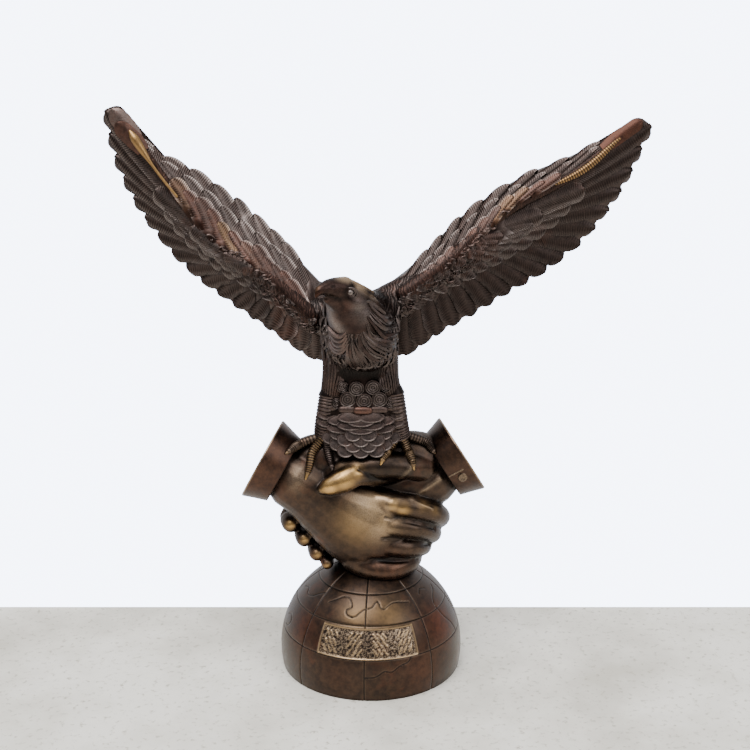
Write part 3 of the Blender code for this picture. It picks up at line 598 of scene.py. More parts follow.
KNUCKLES = ((20, -27, 66, 9), (16, -26.5, 46, 8), (11, -25, 25, 7.5), (-9, -20, 9, 14))
# Where each sleeve end begins, and the direction in which it opens
CUFFS = (
    ((-82, -12, 95), (-0.8747, 0.10, 0.474)),
    ((68, 10, 91), (0.8398, 0.13, 0.527)),
)
BUTTON = (88, -30, 91)  # on the far hand's cuff, a little off its skin
CUFF_SIDES = 96
BUTTON_SIDES = 28
SLIT_TURN = -0.19  # radians from the button to the slit, about the cuff's axis
SLIT_SIZE = (0.0008, 0.0006)  # half width and half thickness of the slit's raised edge, in metres
# Folds between fingers and in the skin: path, half width and depth, below zero for a ridge
FOLDS = (
    (((14, -35, 56), (26, -35, 53), (39, -33, 50), (52, -29, 45), (61, -19, 38)), 1.8, 1.8),
    (((10, -36, 35), (22, -34, 32), (37, -32, 28), (50, -22, 23), (57, -8, 17)), 1.8, 1.9),
    (((0, -35, 13), (13, -32, 11), (28, -28, 8), (41, -18, 5), (46, -4, 1)), 1.8, 1.8),
    (((-11, -39, 105), (1, -36, 97), (14, -25, 88), (30, -24, 76)), 1.8, 1.4),
    (((12, -14, 80), (27, -21, 75), (42, -29, 69), (58, -27, 61)), 1.1, -1.1),
    (((44, -21, 72), (54, -18, 80), (66, -16, 88)), 2.2, -1.2),
    (((27, -28, 93), (35, -32, 102), (40, -27, 108)), 2.2, -1.0),
    (((-50, -44, 88), (-41, -47, 95), (-30, -44, 102)), 1.4, 0.9),
)
# Where handling has rubbed the metal bright: place, reach and strength
GOLD_SPOTS = (
    ((-38, -46, 90), 8, 1.0), ((-25, -45, 97), 9, 0.95), ((-13, -41, 103), 6, 0.7),
    ((21, -36, 68), 6, 0.55), ((30, -35, 63), 6, 0.55), ((4, -34, 66), 12, 0.34),
    ((-10, -39, 54), 20, 0.24), ((12, -36, 52), 13, 0.22), ((-77, -17, 41), 4, 0.8),
    ((-63, -20, 27), 3.5, 0.6), ((-51, -22, 12), 3.5, 0.5), ((-42, -22, 0), 3, 0.45),
    ((50, -27, 66), 6, 0.25), ((61, -25, 60), 5, 0.2),
)
# Painted highlights: pale sheen on the near wrist, the index finger's upper edge and the back of the near
# hand: place, reach and strength
PAINTED_HIGHLIGHTS = (
    ((-68, -38, 96), 10, 0.4), ((39, -28, 73), 3, 0.8), ((0, -38, 66), 18, 1.0), ((8, -36, 48), 14, 0.6),
)
WARM_SPOTS = (((-96, -34, 92), 20, 0.5), ((18, -32, 0), 22, 0.3), ((84, -28, 100), 14, 0.3))
# Painted shadow in the dark recess beside the far hand's thumb: place, reach and strength
PAINTED_SHADOWS = (
    ((2, -36, 95), 9, 0.95), ((19, -32, 90), 9, 0.8), ((14, -36, 104), 12, 0.6), ((32, -31, 100), 12, 0.5),
)


def cuff_shape(sizes, drawing, place, way):
    """A sleeve end: a flaring cone with a hem, a thin rim and a sunk end."""
    inner = sizes.cuff_inner_radius
    outer = sizes.cuff_outer_radius
    length = sizes.cuff_length
    wall = sizes.cuff_wall
    hem = 0.8 * MILLIMETRE
    profile = (
        (0.0, 0.0), (inner - 2 * hem, 0.0), (inner - hem * 0.4, hem * 0.3), (inner, hem),
        (inner + (outer - inner) * 0.5, length * 0.5), (outer - hem * 0.2, length - 3 * hem),
        (outer, length - 2.4 * hem), (outer, length - hem), (outer - hem * 0.5, length - hem * 0.2),
        (outer - hem * 1.5, length), (outer - wall, length - hem * 0.4),
        (outer - wall - hem * 0.4, length - hem * 2), (outer - wall, length - sizes.cuff_recess),
        (0.0, length - sizes.cuff_recess),
    )
    axis = Vector(way).normalized()
    turn = Vector((0.0, 0.0, 1.0)).rotation_difference(axis).to_matrix().to_4x4()
    stand = Matrix.Translation(drawing.place(place)) @ turn
    bm = turned(stand, profile, CUFF_SIDES)
    rub = bm.verts.layers.float["rub"]
    cavity = bm.verts.layers.float["cavity"]
    warm = bm.verts.layers.float["warm"]
    for vert in bm.verts:
        height = (vert.co - stand.translation).dot(axis)
        vert[rub] = 0.7 if height > length - hem * 1.3 else 0.0
        vert[cavity] = 0.9 if height < hem * 0.6 else 0.0
        vert[warm] = 0.2 if way[0] < 0 else 0.1
    return bm


def cuff_tab(sizes, drawing):
    """The far cuff's button and the slit beside it."""
    place, way = CUFFS[1]
    cuff = drawing.place(place)
    axis = Vector(way).normalized()
    centre = drawing.place(BUTTON)
    out = centre - cuff
    out = (out - axis * out.dot(axis)).normalized()
    along = (centre - cuff).dot(axis)
    flare = sizes.cuff_outer_radius - sizes.cuff_inner_radius
    radius = sizes.button_radius
    rise = sizes.button_height
    profile = (
        (0.0, rise * 0.35), (radius * 0.45, rise * 0.4), (radius * 0.62, rise * 0.9), (radius * 0.84, rise),
        (radius, rise * 0.6), (radius, -rise), (0.0, -rise),
    )
    turn = Vector((0.0, 0.0, 1.0)).rotation_difference(out).to_matrix().to_4x4()
    skin = sizes.cuff_inner_radius + flare * along / sizes.cuff_length
    button = turned(Matrix.Translation(cuff + axis * along + out * skin) @ turn, profile, BUTTON_SIDES)
    set_marks(button, rub=0.3)
    side = axis.cross(out).normalized()
    stations = []
    turned_out = out * math.cos(SLIT_TURN) + side * math.sin(SLIT_TURN)
    for k in range(9):
        height = sizes.cuff_length * (0.04 + 0.62 * k / 8)
        level = sizes.cuff_inner_radius + flare * height / sizes.cuff_length
        stations.append((*(cuff + axis * height + turned_out * level), *SLIT_SIZE))
    return [button, tube(stations, sides=8, steps=1, facing=out, marks=Marks(rub=0.35))]


def make_hands(sizes, material):
    globe = Globe(sizes)
    seat = globe.centre + Vector((0.0, 0.0, globe.radius))
    drawing = Drawing(seat, sizes.hands_span / HANDS_DRAWN)
    limbs = [
        tube(drawing.stations(stations), sides=20, steps=4)
        for stations in (NEAR_ARM, FAR_ARM, SADDLE, FAR_THUMB, NEAR_THUMB, *NEAR_FINGERS, *FAR_FINGERS)
    ]
    limbs += [ball(drawing.place(place), (radius * drawing.scale,) * 3) for *place, radius in KNUCKLES]
    flesh = fused(limbs, sizes.hand_grain, 6)
    skin = Skin(flesh)
    hollow = skin.relief(10)
    for path, width, depth in FOLDS:
        line = [drawing.place(p) for p in smooth_path(path, 4)]
        share = skin.carve(line, width * drawing.scale, depth * drawing.scale)
        # Folds get painted shade along them, and ridges a painted highlight
        skin.paint("cavity" if depth > 0 else "rub", share * (0.8 if depth > 0 else 0.45))
    skin.paint("cavity", np.clip(hollow / HAND_HOLLOW, 0.0, 1.0) * 0.9)
    # Painted shadow in the recess beside the far hand's thumb
    skin.paint("cavity", skin.near(drawing, PAINTED_SHADOWS))
    skin.paint("gold", skin.near(drawing, GOLD_SPOTS) * (1.0 - skin.marks["cavity"]))
    # Painted highlights, and pale wear where the hands stand out most
    skin.paint("rub", skin.near(drawing, PAINTED_HIGHLIGHTS) + np.clip(-hollow / HAND_SWELL, 0.0, 1.0) * 0.10)
    skin.paint("warm", skin.near(drawing, WARM_SPOTS))
    out = skin.points - np.array(globe.centre)
    far = np.linalg.norm(out, axis=1)
    rest = globe.radius + sizes.clearance * 2
    sunk = far < rest
    skin.points[sunk] = np.array(globe.centre) + out[sunk] / far[sunk, None] * rest
    skin.write()
    parts = [flesh, *(cuff_shape(sizes, drawing, *cuff) for cuff in CUFFS), *cuff_tab(sizes, drawing)]
    return finished_piece("hands_casting", joined(parts), material, "clasped_hands"), drawing


# Eagle, drawn in millimetres from the middle between its ankles

EAGLE_DRAWN = 325.0  # height of the drawing
PERCH = (-8.0, 0.0, 113.5)  # the eagle's ankles' midpoint on the drawing of the hands
TORSO = (
    (-3, -12, 138, 24, 20), (-1, -2, 126, 34, 27), (-2, -6, 106, 35.5, 34), (-2, -2, 84, 33, 26),
    (-1, -4, 58, 35, 27), (-1, -7, 32, 39, 30), (-1, -6, 14, 35, 27), (0, -4, 0, 24, 18),
)
NECK = (
    (-15, -47, 154, 19, 18), (-10, -44, 144, 23.5, 21.5), (-3, -38, 132, 26.5, 24), (2, -31, 118, 29, 27),
    (0, -20, 105, 33, 25),
)
SKULL = ((-11, -47, 157), (21.5, 20.0, 13.5))
SKULL_SLOPE = 30.0  # degrees that the crown falls towards the back of the head
BEAK = (
    (-16, -57, 165, 12.5, 10.5), (-25, -65, 168.5, 9.0, 8.5), (-32, -71, 169, 6.3, 6.5),
    (-36.8, -75, 167, 4.2, 4.6), (-39.0, -77, 162.5, 1.9, 2.4),
)
JAW = ((-16, -54, 152, 12, 9), (-23, -60, 155.5, 8.5, 7.5), (-30, -66, 158.5, 4.2, 4.4))
CROWN = ((-24, -62, 174, 3.5, 3), (-12, -56, 171.5, 4, 3), (0, -50, 164.5, 4, 3), (9, -40, 158, 3.5, 3))
EYE = ((-9.5, -63.5, 164), 4.0)
CULMEN = ((-37, -76, 172), (-40, -79, 168), (-41.5, -80, 163))  # the beak's ridge, where it hooks down
# The line of the painted highlight down the throat's left side
THROAT = ((-31, -58, 157), (-31, -58, 148), (-27, -58, 138), (-22, -61, 128))
CHEEK_SPOTS = (((-1, -62, 150), 9, 0.4), ((3, -60, 142), 8, 0.3))
BEAK_SPOTS = (((-12, -66, 151), 5, 0.2), ((-38, -78, 164), 4, 0.25))
MOUTH = ((-40, -80, 160.5), (-33, -76, 163.8), (-27, -72, 162.3), (-19, -67, 159))
NOSTRIL = ((-24, -73, 171), 1.6)
THIGHS = (
    ((-23, -8, 102, 13, 16), (-24, -14, 78, 11.5, 14), (-29, -18, 58, 9.5, 10)),
    ((20, -8, 102, 13, 16), (21, -14, 78, 11.5, 14), (27, -18, 60, 9.5, 10)),
)
SHANKS = (
    ((-31, -19, 58, 8.5, 8.5), (-33, -20, 44, 8.5, 8.5), (-35, -18, 27, 9, 8.5), (-36, -15, 14, 9, 8)),
    ((30, -19, 60, 8.5, 8.5), (32, -20, 46, 8.5, 8.5), (34, -18, 28, 9, 8.5), (36, -15, 16, 9, 8)),
)
# Each toe: where it leaves the ankle, its middle and its claw's tip, before it is laid on the hands.
# The last number is how much its rings are rubbed to gold
TOES = (
    ((-40, -17, 16), (-60, -23, 10), (-72, -36, 5), 0.08),
    ((-38, -20, 15), (-46, -24, 3), (-53, -37, -19), 0.28),
    ((-33, -20, 15), (-32, -23, 4), (-27, -33, -12), 0.0),
    ((-36, -8, 14), (-38, 10, 4), (-40, 26, -4), 0.1),
    ((42, -14, 17), (58, -10, 8), (69, -15, -1), 0.05),
    ((38, -19, 15), (43, -20, 1), (48, -30, -12), 0.2),
    ((32, -19, 15), (24, -22, 3), (17, -36, -5), 0.3),
    ((36, -8, 16), (38, 10, 6), (40, 24, -2), 0.1),
)
TOE_ROOT = 4.7
TOE_END = 3.7
CLAW_END = 1.2

# Long strands on the front of the neck, from one guide to the next, and how many lie between two
THROAT_GUIDES = (
    ((-33, -32, 135), (-33, -44, 128), (-28, -54, 121), (-21, -60, 120), (-15, -63, 125)),
    ((-34, -30, 127), (-33, -37, 117), (-27, -46, 111), (-20, -56, 112), (-14, -61, 120)),
    ((-34, -24, 119), (-31, -35, 109), (-25, -43, 104), (-18, -50, 106), (-13, -58, 114)),
)
BREAST_GUIDES = (
    ((-17, -60, 110), (-16, -54, 101), (-14, -50, 95), (-13, -46, 88)),
    ((-13, -61, 114), (-12, -56, 104), (-8, -51, 96), (-7, -48, 87)),
    ((-9, -61, 118), (-7, -57, 108), (-2, -54, 99), (1, -50, 88)),
    ((-5, -61, 122), (-2, -58, 111), (5, -55, 102), (10, -51, 93)),
    ((-1, -61, 126), (3, -59, 115), (10, -57, 106), (18, -50, 100)),
    ((3, -61, 128), (7, -60, 120), (15, -57, 112), (25, -49, 108)),
    ((5, -61, 137), (10, -59, 128), (19, -54, 120), (31, -41, 119)),
    ((7, -59, 147), (14, -58, 138), (22, -52, 130), (34, -32, 129)),
    ((8, -57, 156), (16, -56, 147), (24, -48, 140), (34, -24, 139)),
)
THROAT_STRANDS = 2
BREAST_STRANDS = 3
# Half width and how far the middle stands off the skin, at shares of a strand's length
LONG_STRAND = ((0.9, -1.2), (1.9, 0.1), (2.3, 0.7), (1.1, 1.5))
CURVED_STRAND = ((1.3, -0.6), (2.2, 0.6), (2.5, 0.9), (2.3, 0.7), (1.4, -0.8))
# Locks round the sides and the back of the neck. Each row has how many strands, the height of their
# roots, how far they fall, the degrees from straight ahead of the first and the last, and their drift
HACKLE_ROWS = (
    (12, 157, 26, 60, 165, 30), (12, 146, 28, 62, 165, 30), (12, 134, 28, 66, 165, 28),
    (9, 152, 22, -78, -165, -22), (9, 140, 24, -72, -165, -24), (9, 127, 22, -70, -160, -20),
)
HACKLE_STRAND = ((0.8, -0.4), (2.1, 0.7), (2.3, 1.0), (1.6, 1.3), (0.8, 1.5))
HACKLE_STEP = 9.5  # the furthest that two points of a lock and of a small curl may lie apart
CURL_STEP = 6.5
# Small curls: the corners of a box near the skin and how many are strewn in it
CURLS = (
    ((14, -62, 90), (36, -18, 122), 64), ((-38, -46, 90), (-20, -10, 116), 36),
    ((22, -34, 118), (50, 8, 140), 36), ((-54, -34, 104), (-26, 8, 136), 36),
    ((-18, -50, 85), (16, -40, 93), 20), ((-34, 18, 56), (34, 40, 140), 24),
)
SMALL_CURL = ((-4, 0), (0, 0.8), (3.2, -0.4), (4.2, -3.0))  # its points, down and to its side
CURL_STRAND = ((0.8, 0.2), (1.3, 0.7), (1.2, 1.0), (0.7, 1.2))
# Rows of scales over the belly: how many in each row from the lowest up, the distance between two
# scales, the lowest row's height, the step up to the next one, a scale's half width and half height,
# how far its lower edge stands off and how worn it is
BELLY_SCALES = (
    ((3, 4, 5, 4), 14.2, 8.8, 5.4, 8.2, 6.4, 2.4, 0.25), ((3, 4, 3, 4), 18.6, 30, 3.7, 13.0, 4.6, 2.3, 0.12),
)
# The row of plates above them: distance between two, height, half width and half height
BELLY_PLATES = (14, 47.0, 7.6, 3.8)
# The ringed scales above the plates: place and half width
ROSETTES = (
    (-13, -30.8, 57, 7.6), (2, -32.2, 56, 7.4), (16, -30.6, 57, 7.4), (-5, -30.2, 67, 7.2),
    (10, -29.6, 68, 7.2), (-23, -27, 52, 5.4), (26, -27, 53, 5.4), (-18, -27.6, 68, 5.6),
    (22, -27, 68, 5.4),
)
TAIL_CORE = ((0, 6, 110, 30, 20), (0, 16, 80, 30, 16), (-1, 26, 40, 33, 11), (-1, 31, 8, 34, 8))
TAIL_FEATHERS = 7
TAIL_ROWS = 44  # rows of points along a tail feather, two for each barb
TAIL_HALF_WIDTH = 8.5
# The eye's lids: reach in the eye's radii, half width and how much higher than the eye they lie
LIDS = ((1.12, 0.9, 0.0), (1.55, 0.9, -1.0))

# Wings: distance out from the body's middle and height above the ankles
RIGHT_WING = {
    "ridge": ((39, 146), (99, 190), (143, 230), (201, 258), (234, 286), (255, 302)),
    "trailing": ((39, 84), (68, 104), (104, 123), (143, 146), (183, 170), (215, 198), (246, 247), (266, 299)),
    "leading": ((17, 150), (46, 171), (92, 216), (146, 251), (190, 269), (230, 289), (259, 306)),
}
LEFT_WING = {
    "ridge": ((46, 124), (98, 170), (131, 189), (156, 219), (190, 261), (224, 314)),
    "trailing": ((42, 81), (81, 106), (136, 143), (168, 172), (205, 219), (228, 271), (235, 313)),
    "leading": ((40, 157), (81, 198), (117, 229), (159, 257), (197, 279), (224, 321)),
}
RIDGE_START = 4.0  # how far back the ridge lies at the shoulder and at the tip
RIDGE_END = 38.0
TRAIL_SLANT = 0.22  # how far the wing falls back below and above its ridge, for each millimetre
LEAD_SLANT = 0.50
ROOT_THICKNESS = 18.0
TIP_THICKNESS = 8.0
EDGE_THICKNESS = 3.4
ARM_WIDTH = 22.0  # how far the thick part of the wing spreads from its ridge
WING_ROOT_DEPTH = 20.0  # how far a wing reaches into the body
SHOULDER_START = (4.0, 122.0, 22.0, 18.0)
SHOULDER = ((0.02, 16.0), (0.14, 12.0), (0.30, 8.0))
# The arm along the ridge: share of the ridge, radius and how far its front stands off the wing
ARM = ((0.0, 10.0, 7.0), (0.2, 9.0, 6.6), (0.45, 6.5, 5.0), (0.7, 4.4, 3.4), (0.97, 4.0, 3.2))
SWEEP = 0.62  # how much further in the outermost feather starts than it ends
SWEEP_BEND = 0.5
FEATHER_CROWN = 0.9
FEATHER_TILT = 1.7  # how far a feather's covering edge stands over its covered edge
ROW_TILT = 2.2  # the same for the short rows below the ridge
BLUNT_TIP = 1.15  # length of a feather's rounded tip, in half widths
LEAST_WIDTH = 4.2  # the smallest half width of a feather above the ridge

# Rows of feathers below the ridge: how many, where each starts and ends between the ridge and the
# trailing edge, how far its tip stands off the wing, its thickness, its bare root, its looseness and
# the share of the wing beyond which the row leaves the flight feathers bare
FLIGHT_ROWS = (
    (17, 0.10, 1.00, 0.6, 3.6, 0.36, 0.0, 1.0), (16, 0.06, 0.64, 3.0, 4.6, 0.38, 0.05, 0.92),
    (18, 0.03, 0.46, 4.6, 5.6, 0.28, 0.16, 0.80), (20, 0.00, 0.30, 6.0, 6.4, 0.10, 0.30, 0.66),
)
# Rows above the ridge, whose feathers point to the wing's tip: how many, the share of the ridge on
# which they start, height between the ridge and the leading edge at root and tip, stand-off,
# thickness, looseness, length as a share of the ridge and half width as a share of the room there
LEADING_ROWS = (
    (9, 0.87, 0.30, 1.03, 1.0, 4.8, 0.03, 0.19, 0.27), (10, 0.84, 0.10, 0.72, 2.6, 6.0, 0.08, 0.18, 0.23),
    (12, 0.60, 0.02, 0.40, 6.8, 8.0, 0.24, 0.13, 0.2),
)
BACK_ROWS = ((17, 0.05, 1.00, 0.6, 4.0, 0.45), (15, 0.00, 0.50, 2.6, 6.0, 0.3))
# Small curls on a wing's inner half: how many, the shares of the wing's length and the falls
WING_CURLS = (60, (-0.02, 0.46), (-0.16, 0.44))
# A curl's points, each with its radius, and how far the curl stands off the wing
WING_CURL = ((-5, -1, 0.6), (-1, 1.2, 1.0), (3, 0.6, 1.0), (4.4, -1.8, 0.8), (3.0, -3.4, 0.5))
WING_CURL_LIFT = 6.7
# Smooth blades on the ridge's outer end: where each starts and ends, half width, stand-off and wear
TIP_BLADES = {
    1.0: ((0.84, 1.0, 6.2, 5.2, 0.05),),
    -1.0: ((0.83, 0.955, 8.2, 6.6, 0.10), (0.88, 1.0, 9.0, 4.2, 0.45)),
}
WIDE = (-1.0, -0.55, -0.15, 0.0, 0.15, 0.55, 1.0)  # points from a feather's edge over its quill
NARROW = (-1.0, -0.5, 0.0, 0.5, 1.0)
CHEVRON = 0.8  # how far the barbs run towards the tip, for each millimetre from the quill
SMOOTH_STEP = 3.0  # distance between two rows of points of a feather without barbs
# How far the quill, a barb and a barb's end stand off a feather, as shares of a barb's height
QUILL_RISE = 1.2
BARB_RISE = 0.6
EDGE_RISE = 0.4
# Painted shade on a feather: how dark it is at its bare root, under the next one, between two barbs and on
# its back
BARE_SHADE = 0.75
COVERED_SHADE = 0.8
GROOVE_SHADE = 0.85
BEHIND_SHADE = 0.9
# How worn its quill, its barbs and a feather without barbs are
QUILL_WORN = 0.36
BARB_WORN = 0.30
SMOOTH_WORN = 0.05
ROLL_STATIONS = 60  # along the rolled rib on the ridge's outer part, two for each of its ribs
WING_SEEDS = {1.0: 11, -1.0: 23}  # where each wing's random draws start


class Tone(NamedTuple):
    """How a feather's patina differs from its like: its first value is added to its wear, and its shade value
    is painted shade, which darkens all of it.
    """

    rub: float = 0.0
    gold: float = 0.0
    warm: float = 0.0
    curl: float = 0.0
    painted_shade: float = 0.0
    rim: float = 0.62  # how worn its edge is


class Wing:
    """The skin that a wing's feathers lie on, in the drawing's millimetres."""

    def __init__(self, side, curves):
        self.side = side
        self.curves = {}
        for name, points in curves.items():
            path = smooth_path(points, 8)
            reach = [0.0]
            for a, b in zip(path, path[1:]):
                reach.append(reach[-1] + math.dist(a, b))
            self.curves[name] = (path, [length / reach[-1] for length in reach])
        path, shares = self.curves["ridge"]
        self.ridge = np.array(path)
        self.ridge_shares = np.array(shares)
        self.runs = self.ridge[1:] - self.ridge[:-1]
        self.squares = (self.runs**2).sum(axis=1)

    def along(self, name, share):
        """The point at a share of a curve's length."""
        path, shares = self.curves[name]
        share = max(0.0, min(1.0, share))
        k = min(max(bisect.bisect_right(shares, share), 1), len(path) - 1)
        return mix(path[k - 1], path[k], (share - shares[k - 1]) / (shares[k] - shares[k - 1]))

    def spot(self, share, fall):
        """A point of the feather line that ends at a share of the wing's edge, seen from the front.

        fall runs from -1 at the leading edge over 0 on the ridge to 1 at the trailing edge. Below the
        ridge the lines start further in than they end, most of all the outer ones.
        """
        if fall < 0:
            return mix(self.along("ridge", share), self.along("leading", share), -fall)
        inner = share * (1.0 - SWEEP * math.sqrt(max(0.0, share)))
        root = self.along("ridge", inner)
        end = self.along("trailing", share)
        bend = mix(mix(root, end, 0.5), self.along("ridge", (inner + share) / 2), SWEEP_BEND)
        return mix(mix(root, bend, fall), mix(bend, end, fall), fall)

    def skin(self, spots, back=False):
        """How far back the front or the back lies at each of many spots."""
        spots = np.asarray(spots, float)
        offset = spots[:, None, :] - self.ridge[None, :-1, :]
        t = np.clip((offset * self.runs).sum(axis=2) / self.squares, 0.0, 1.0)
        gaps = np.linalg.norm(offset - t[:, :, None] * self.runs, axis=2)
        best = gaps.argmin(axis=1)
        rows = np.arange(len(spots))
        gap = gaps[rows, best]
        steps = self.ridge_shares[best + 1] - self.ridge_shares[best]
        share = self.ridge_shares[best] + steps * t[rows, best]
        cross = self.runs[best, 0] * offset[rows, best, 1] - self.runs[best, 1] * offset[rows, best, 0]
        y = RIDGE_START + (RIDGE_END - RIDGE_START) * share**0.8
        y = y + gap * np.where(cross > 0, LEAD_SLANT, TRAIL_SLANT)
        if back:
            thick = ROOT_THICKNESS + (TIP_THICKNESS - ROOT_THICKNESS) * share
            y = y + EDGE_THICKNESS + (thick - EDGE_THICKNESS) * np.exp(-(gap / ARM_WIDTH) ** 2)
        return y

    def on_ridge(self, share, stand_off):
        x, z = self.along("ridge", share)
        return self.side * x, self.skin([(x, z)])[0] - stand_off, z


def feather_shade_and_wear(u, low, smooth, bare, covered, rim):
    """How much a point of a feather is darkened by painted shade, and how much it is worn pale."""
    if bare:
        return BARE_SHADE, 0.0
    if covered:
        return COVERED_SHADE, 0.0
    if smooth:
        return 0.0, SMOOTH_WORN
    if abs(u) == 1.0:
        return 0.0, rim
    if u == 0.0:
        return 0.0, QUILL_WORN
    return (GROOVE_SHADE, 0.0) if low else (0.0, BARB_WORN)


def heading(line, share):
    """The direction of a line at a share of its length."""
    a = line(max(0.0, share - 0.03))
    b = line(min(1.0, share + 0.03))
    run = math.dist(a, b)
    return (b[0] - a[0]) / run, (b[1] - a[1]) / run


class Plumage:
    """Makes feathers on one wing of the drawing."""

    def __init__(self, drawing, wing, sizes):
        self.drawing = drawing
        self.wing = wing
        self.pitch = sizes.barb_pitch / drawing.scale
        self.height = sizes.barb_height / drawing.scale

    def relief(self, u, barbed, low, smooth):
        """How far the quill or a barb stands off the feather's face."""
        if u == 0.0 and not smooth:
            return self.height * QUILL_RISE
        if not barbed:
            return 0.0
        return (-1 if low else 1) * self.height * (EDGE_RISE if abs(u) == 1.0 else BARB_RISE)

    def stations(self, length, bare, coarse, smooth):
        """The shares of a feather's length at which it has a row of points: two for each barb."""
        rows = [0.0, bare * 0.5] if bare > 0 else [0.0]
        step = SMOOTH_STEP if smooth else self.pitch * coarse / 2
        count = max(6, round(length * (1.0 - bare) / step))
        return rows + [bare + (1.0 - bare) * k / count for k in range(count + 1)]

    def feather(self, line, half_width, lift, thickness, bare=0.4, tilt=FEATHER_TILT, back=False,
                coarse=1.0, tip=BLUNT_TIP, root_lift=0.4, across=NARROW, smooth=False, tone=Tone()):
        """A closed feather on the wing's front or back.

        line gives a spot for a share of its length, bare is the share at its root that has no barbs, and
        tip is the length of its rounded tip in half widths.
        """
        spots = [line(k / 12) for k in range(13)]
        length = sum(math.dist(a, b) for a, b in zip(spots, spots[1:]))
        blunt = min(0.6, tip * half_width / length)
        rows = self.stations(length, bare, coarse, smooth)
        flat = []
        rises = []
        marks = []
        for i, share in enumerate(rows):
            middle = line(share)
            ahead = heading(line, share)
            side = (-ahead[1], ahead[0])
            room = max(0.0, share - 1.0 + blunt) / blunt
            wide = half_width * (0.74 + 0.26 * min(1.0, share * 3)) * math.sqrt(max(0.03, 1.0 - room**2))
            barbed = share >= bare and not smooth
            low = barbed and i % 2
            for u in across:
                forward = CHEVRON * abs(u) * wide * min(1.0, (1.0 - share) / (2 * blunt)) if barbed else 0.0
                flat.append((
                    middle[0] + side[0] * u * wide + ahead[0] * forward,
                    middle[1] + side[1] * u * wide + ahead[1] * forward,
                ))
                rise = FEATHER_CROWN * (1.0 - u * u) - tilt * u + lift * (root_lift + (1 - root_lift) * share)
                rises.append(rise + self.relief(u, barbed, low, smooth))
                covered = u == 1.0 and tilt and room < 0.3
                sunk, worn = feather_shade_and_wear(u, low, smooth, share < bare, covered, tone.rim)
                # Painted shade darkens the whole feather
                sunk = max(sunk, tone.painted_shade)
                worn = max(0.0, min(1.0, worn + tone.rub)) * (1.0 - sunk)
                marks.append(Marks(sunk, worn, tone.gold * (1.0 - sunk), tone.warm, tone.curl))
        return self.closed(rows, flat, rises, marks, len(across), thickness, back)

    def closed(self, rows, flat, rises, marks, points, thickness, back):
        """A closed shape of rows of points on the wing's skin, with a point in the wing behind each row."""
        away = 1.0 if back else -1.0
        depth = self.wing.skin(flat, back)
        face = [
            Vector((self.wing.side * x, y + away * rise, z)) for (x, z), y, rise in zip(flat, depth, rises)
        ]
        behind_marks = Marks(cavity=BEHIND_SHADE, warm=marks[0].warm)
        rings = []
        ring_marks = []
        for i, share in enumerate(rows):
            first = i * points
            behind = Vector((0.0, -away * (thickness * (1.0 - 0.5 * share)), 0.0))
            ring = face[first:first + points] + [face[first + points // 2] + behind]
            rings.append([self.drawing.place(point) for point in ring])
            ring_marks.append([*marks[first:first + points], behind_marks])
        return loft(rings, ring_marks)


def spacing(wing, share, count):
    """The distance between two feathers' ends on the trailing edge."""
    share = max(share, 1 / count)
    return math.dist(wing.along("trailing", share), wing.along("trailing", share - 1 / count))


def row_shares(count):
    """Where a row's feathers end along the wing's edge: a little closer together near the body."""
    return [((k + 0.3) / (count - 0.7)) ** 1.08 for k in range(count)]


def wing_core(drawing, wing):
    """The wing's inner body, which the feathers lie on."""
    rings = []
    for i in range(21):
        share = 0.965 * i / 20
        ridge = wing.along("ridge", share)
        below = [mix(ridge, wing.along("trailing", share), fall) for fall in (0.3, 0.6, 0.95)]
        above = [mix(ridge, wing.along("leading", share), fall) for fall in (0.96, 0.5)]
        spots = above + [ridge] + below
        ring = [Vector((wing.side * x, y, z)) for (x, z), y in zip(spots, wing.skin(spots))]
        behind = list(zip(spots, wing.skin(spots, back=True)))
        ring += [Vector((wing.side * x, y, z)) for (x, z), y in reversed(behind)]
        rings.append([drawing.place(point) for point in ring])
        if i == 0:
            inward = Vector((-wing.side * WING_ROOT_DEPTH, 0.0, -WING_ROOT_DEPTH * 0.4))
            rings.insert(0, [drawing.place(point + inward) for point in ring])
    bm = loft(rings)
    # Slight painted shade where the core shows between the feathers
    set_marks(bm, cavity=0.15, rub=0.2)
    return bm


def shoulder_stations(wing):
    stations = [(0.0, *SHOULDER_START)]
    for share, radius in SHOULDER:
        x, y, z = wing.on_ridge(share, 0.0)
        stations.append((x, y + radius * 0.7, z, radius, radius * 0.8))
    return stations


def arm_shape(drawing, wing):
    stations = []
    for share, radius, stand_off in ARM:
        x, y, z = wing.on_ridge(share, stand_off - radius * 0.8)
        stations.append((x, y, z, radius, radius * 0.8))
    return tube(drawing.stations(stations), sides=14, steps=8, marks=Marks(0.4, 0.05, warm=0.2, curl=0.8))


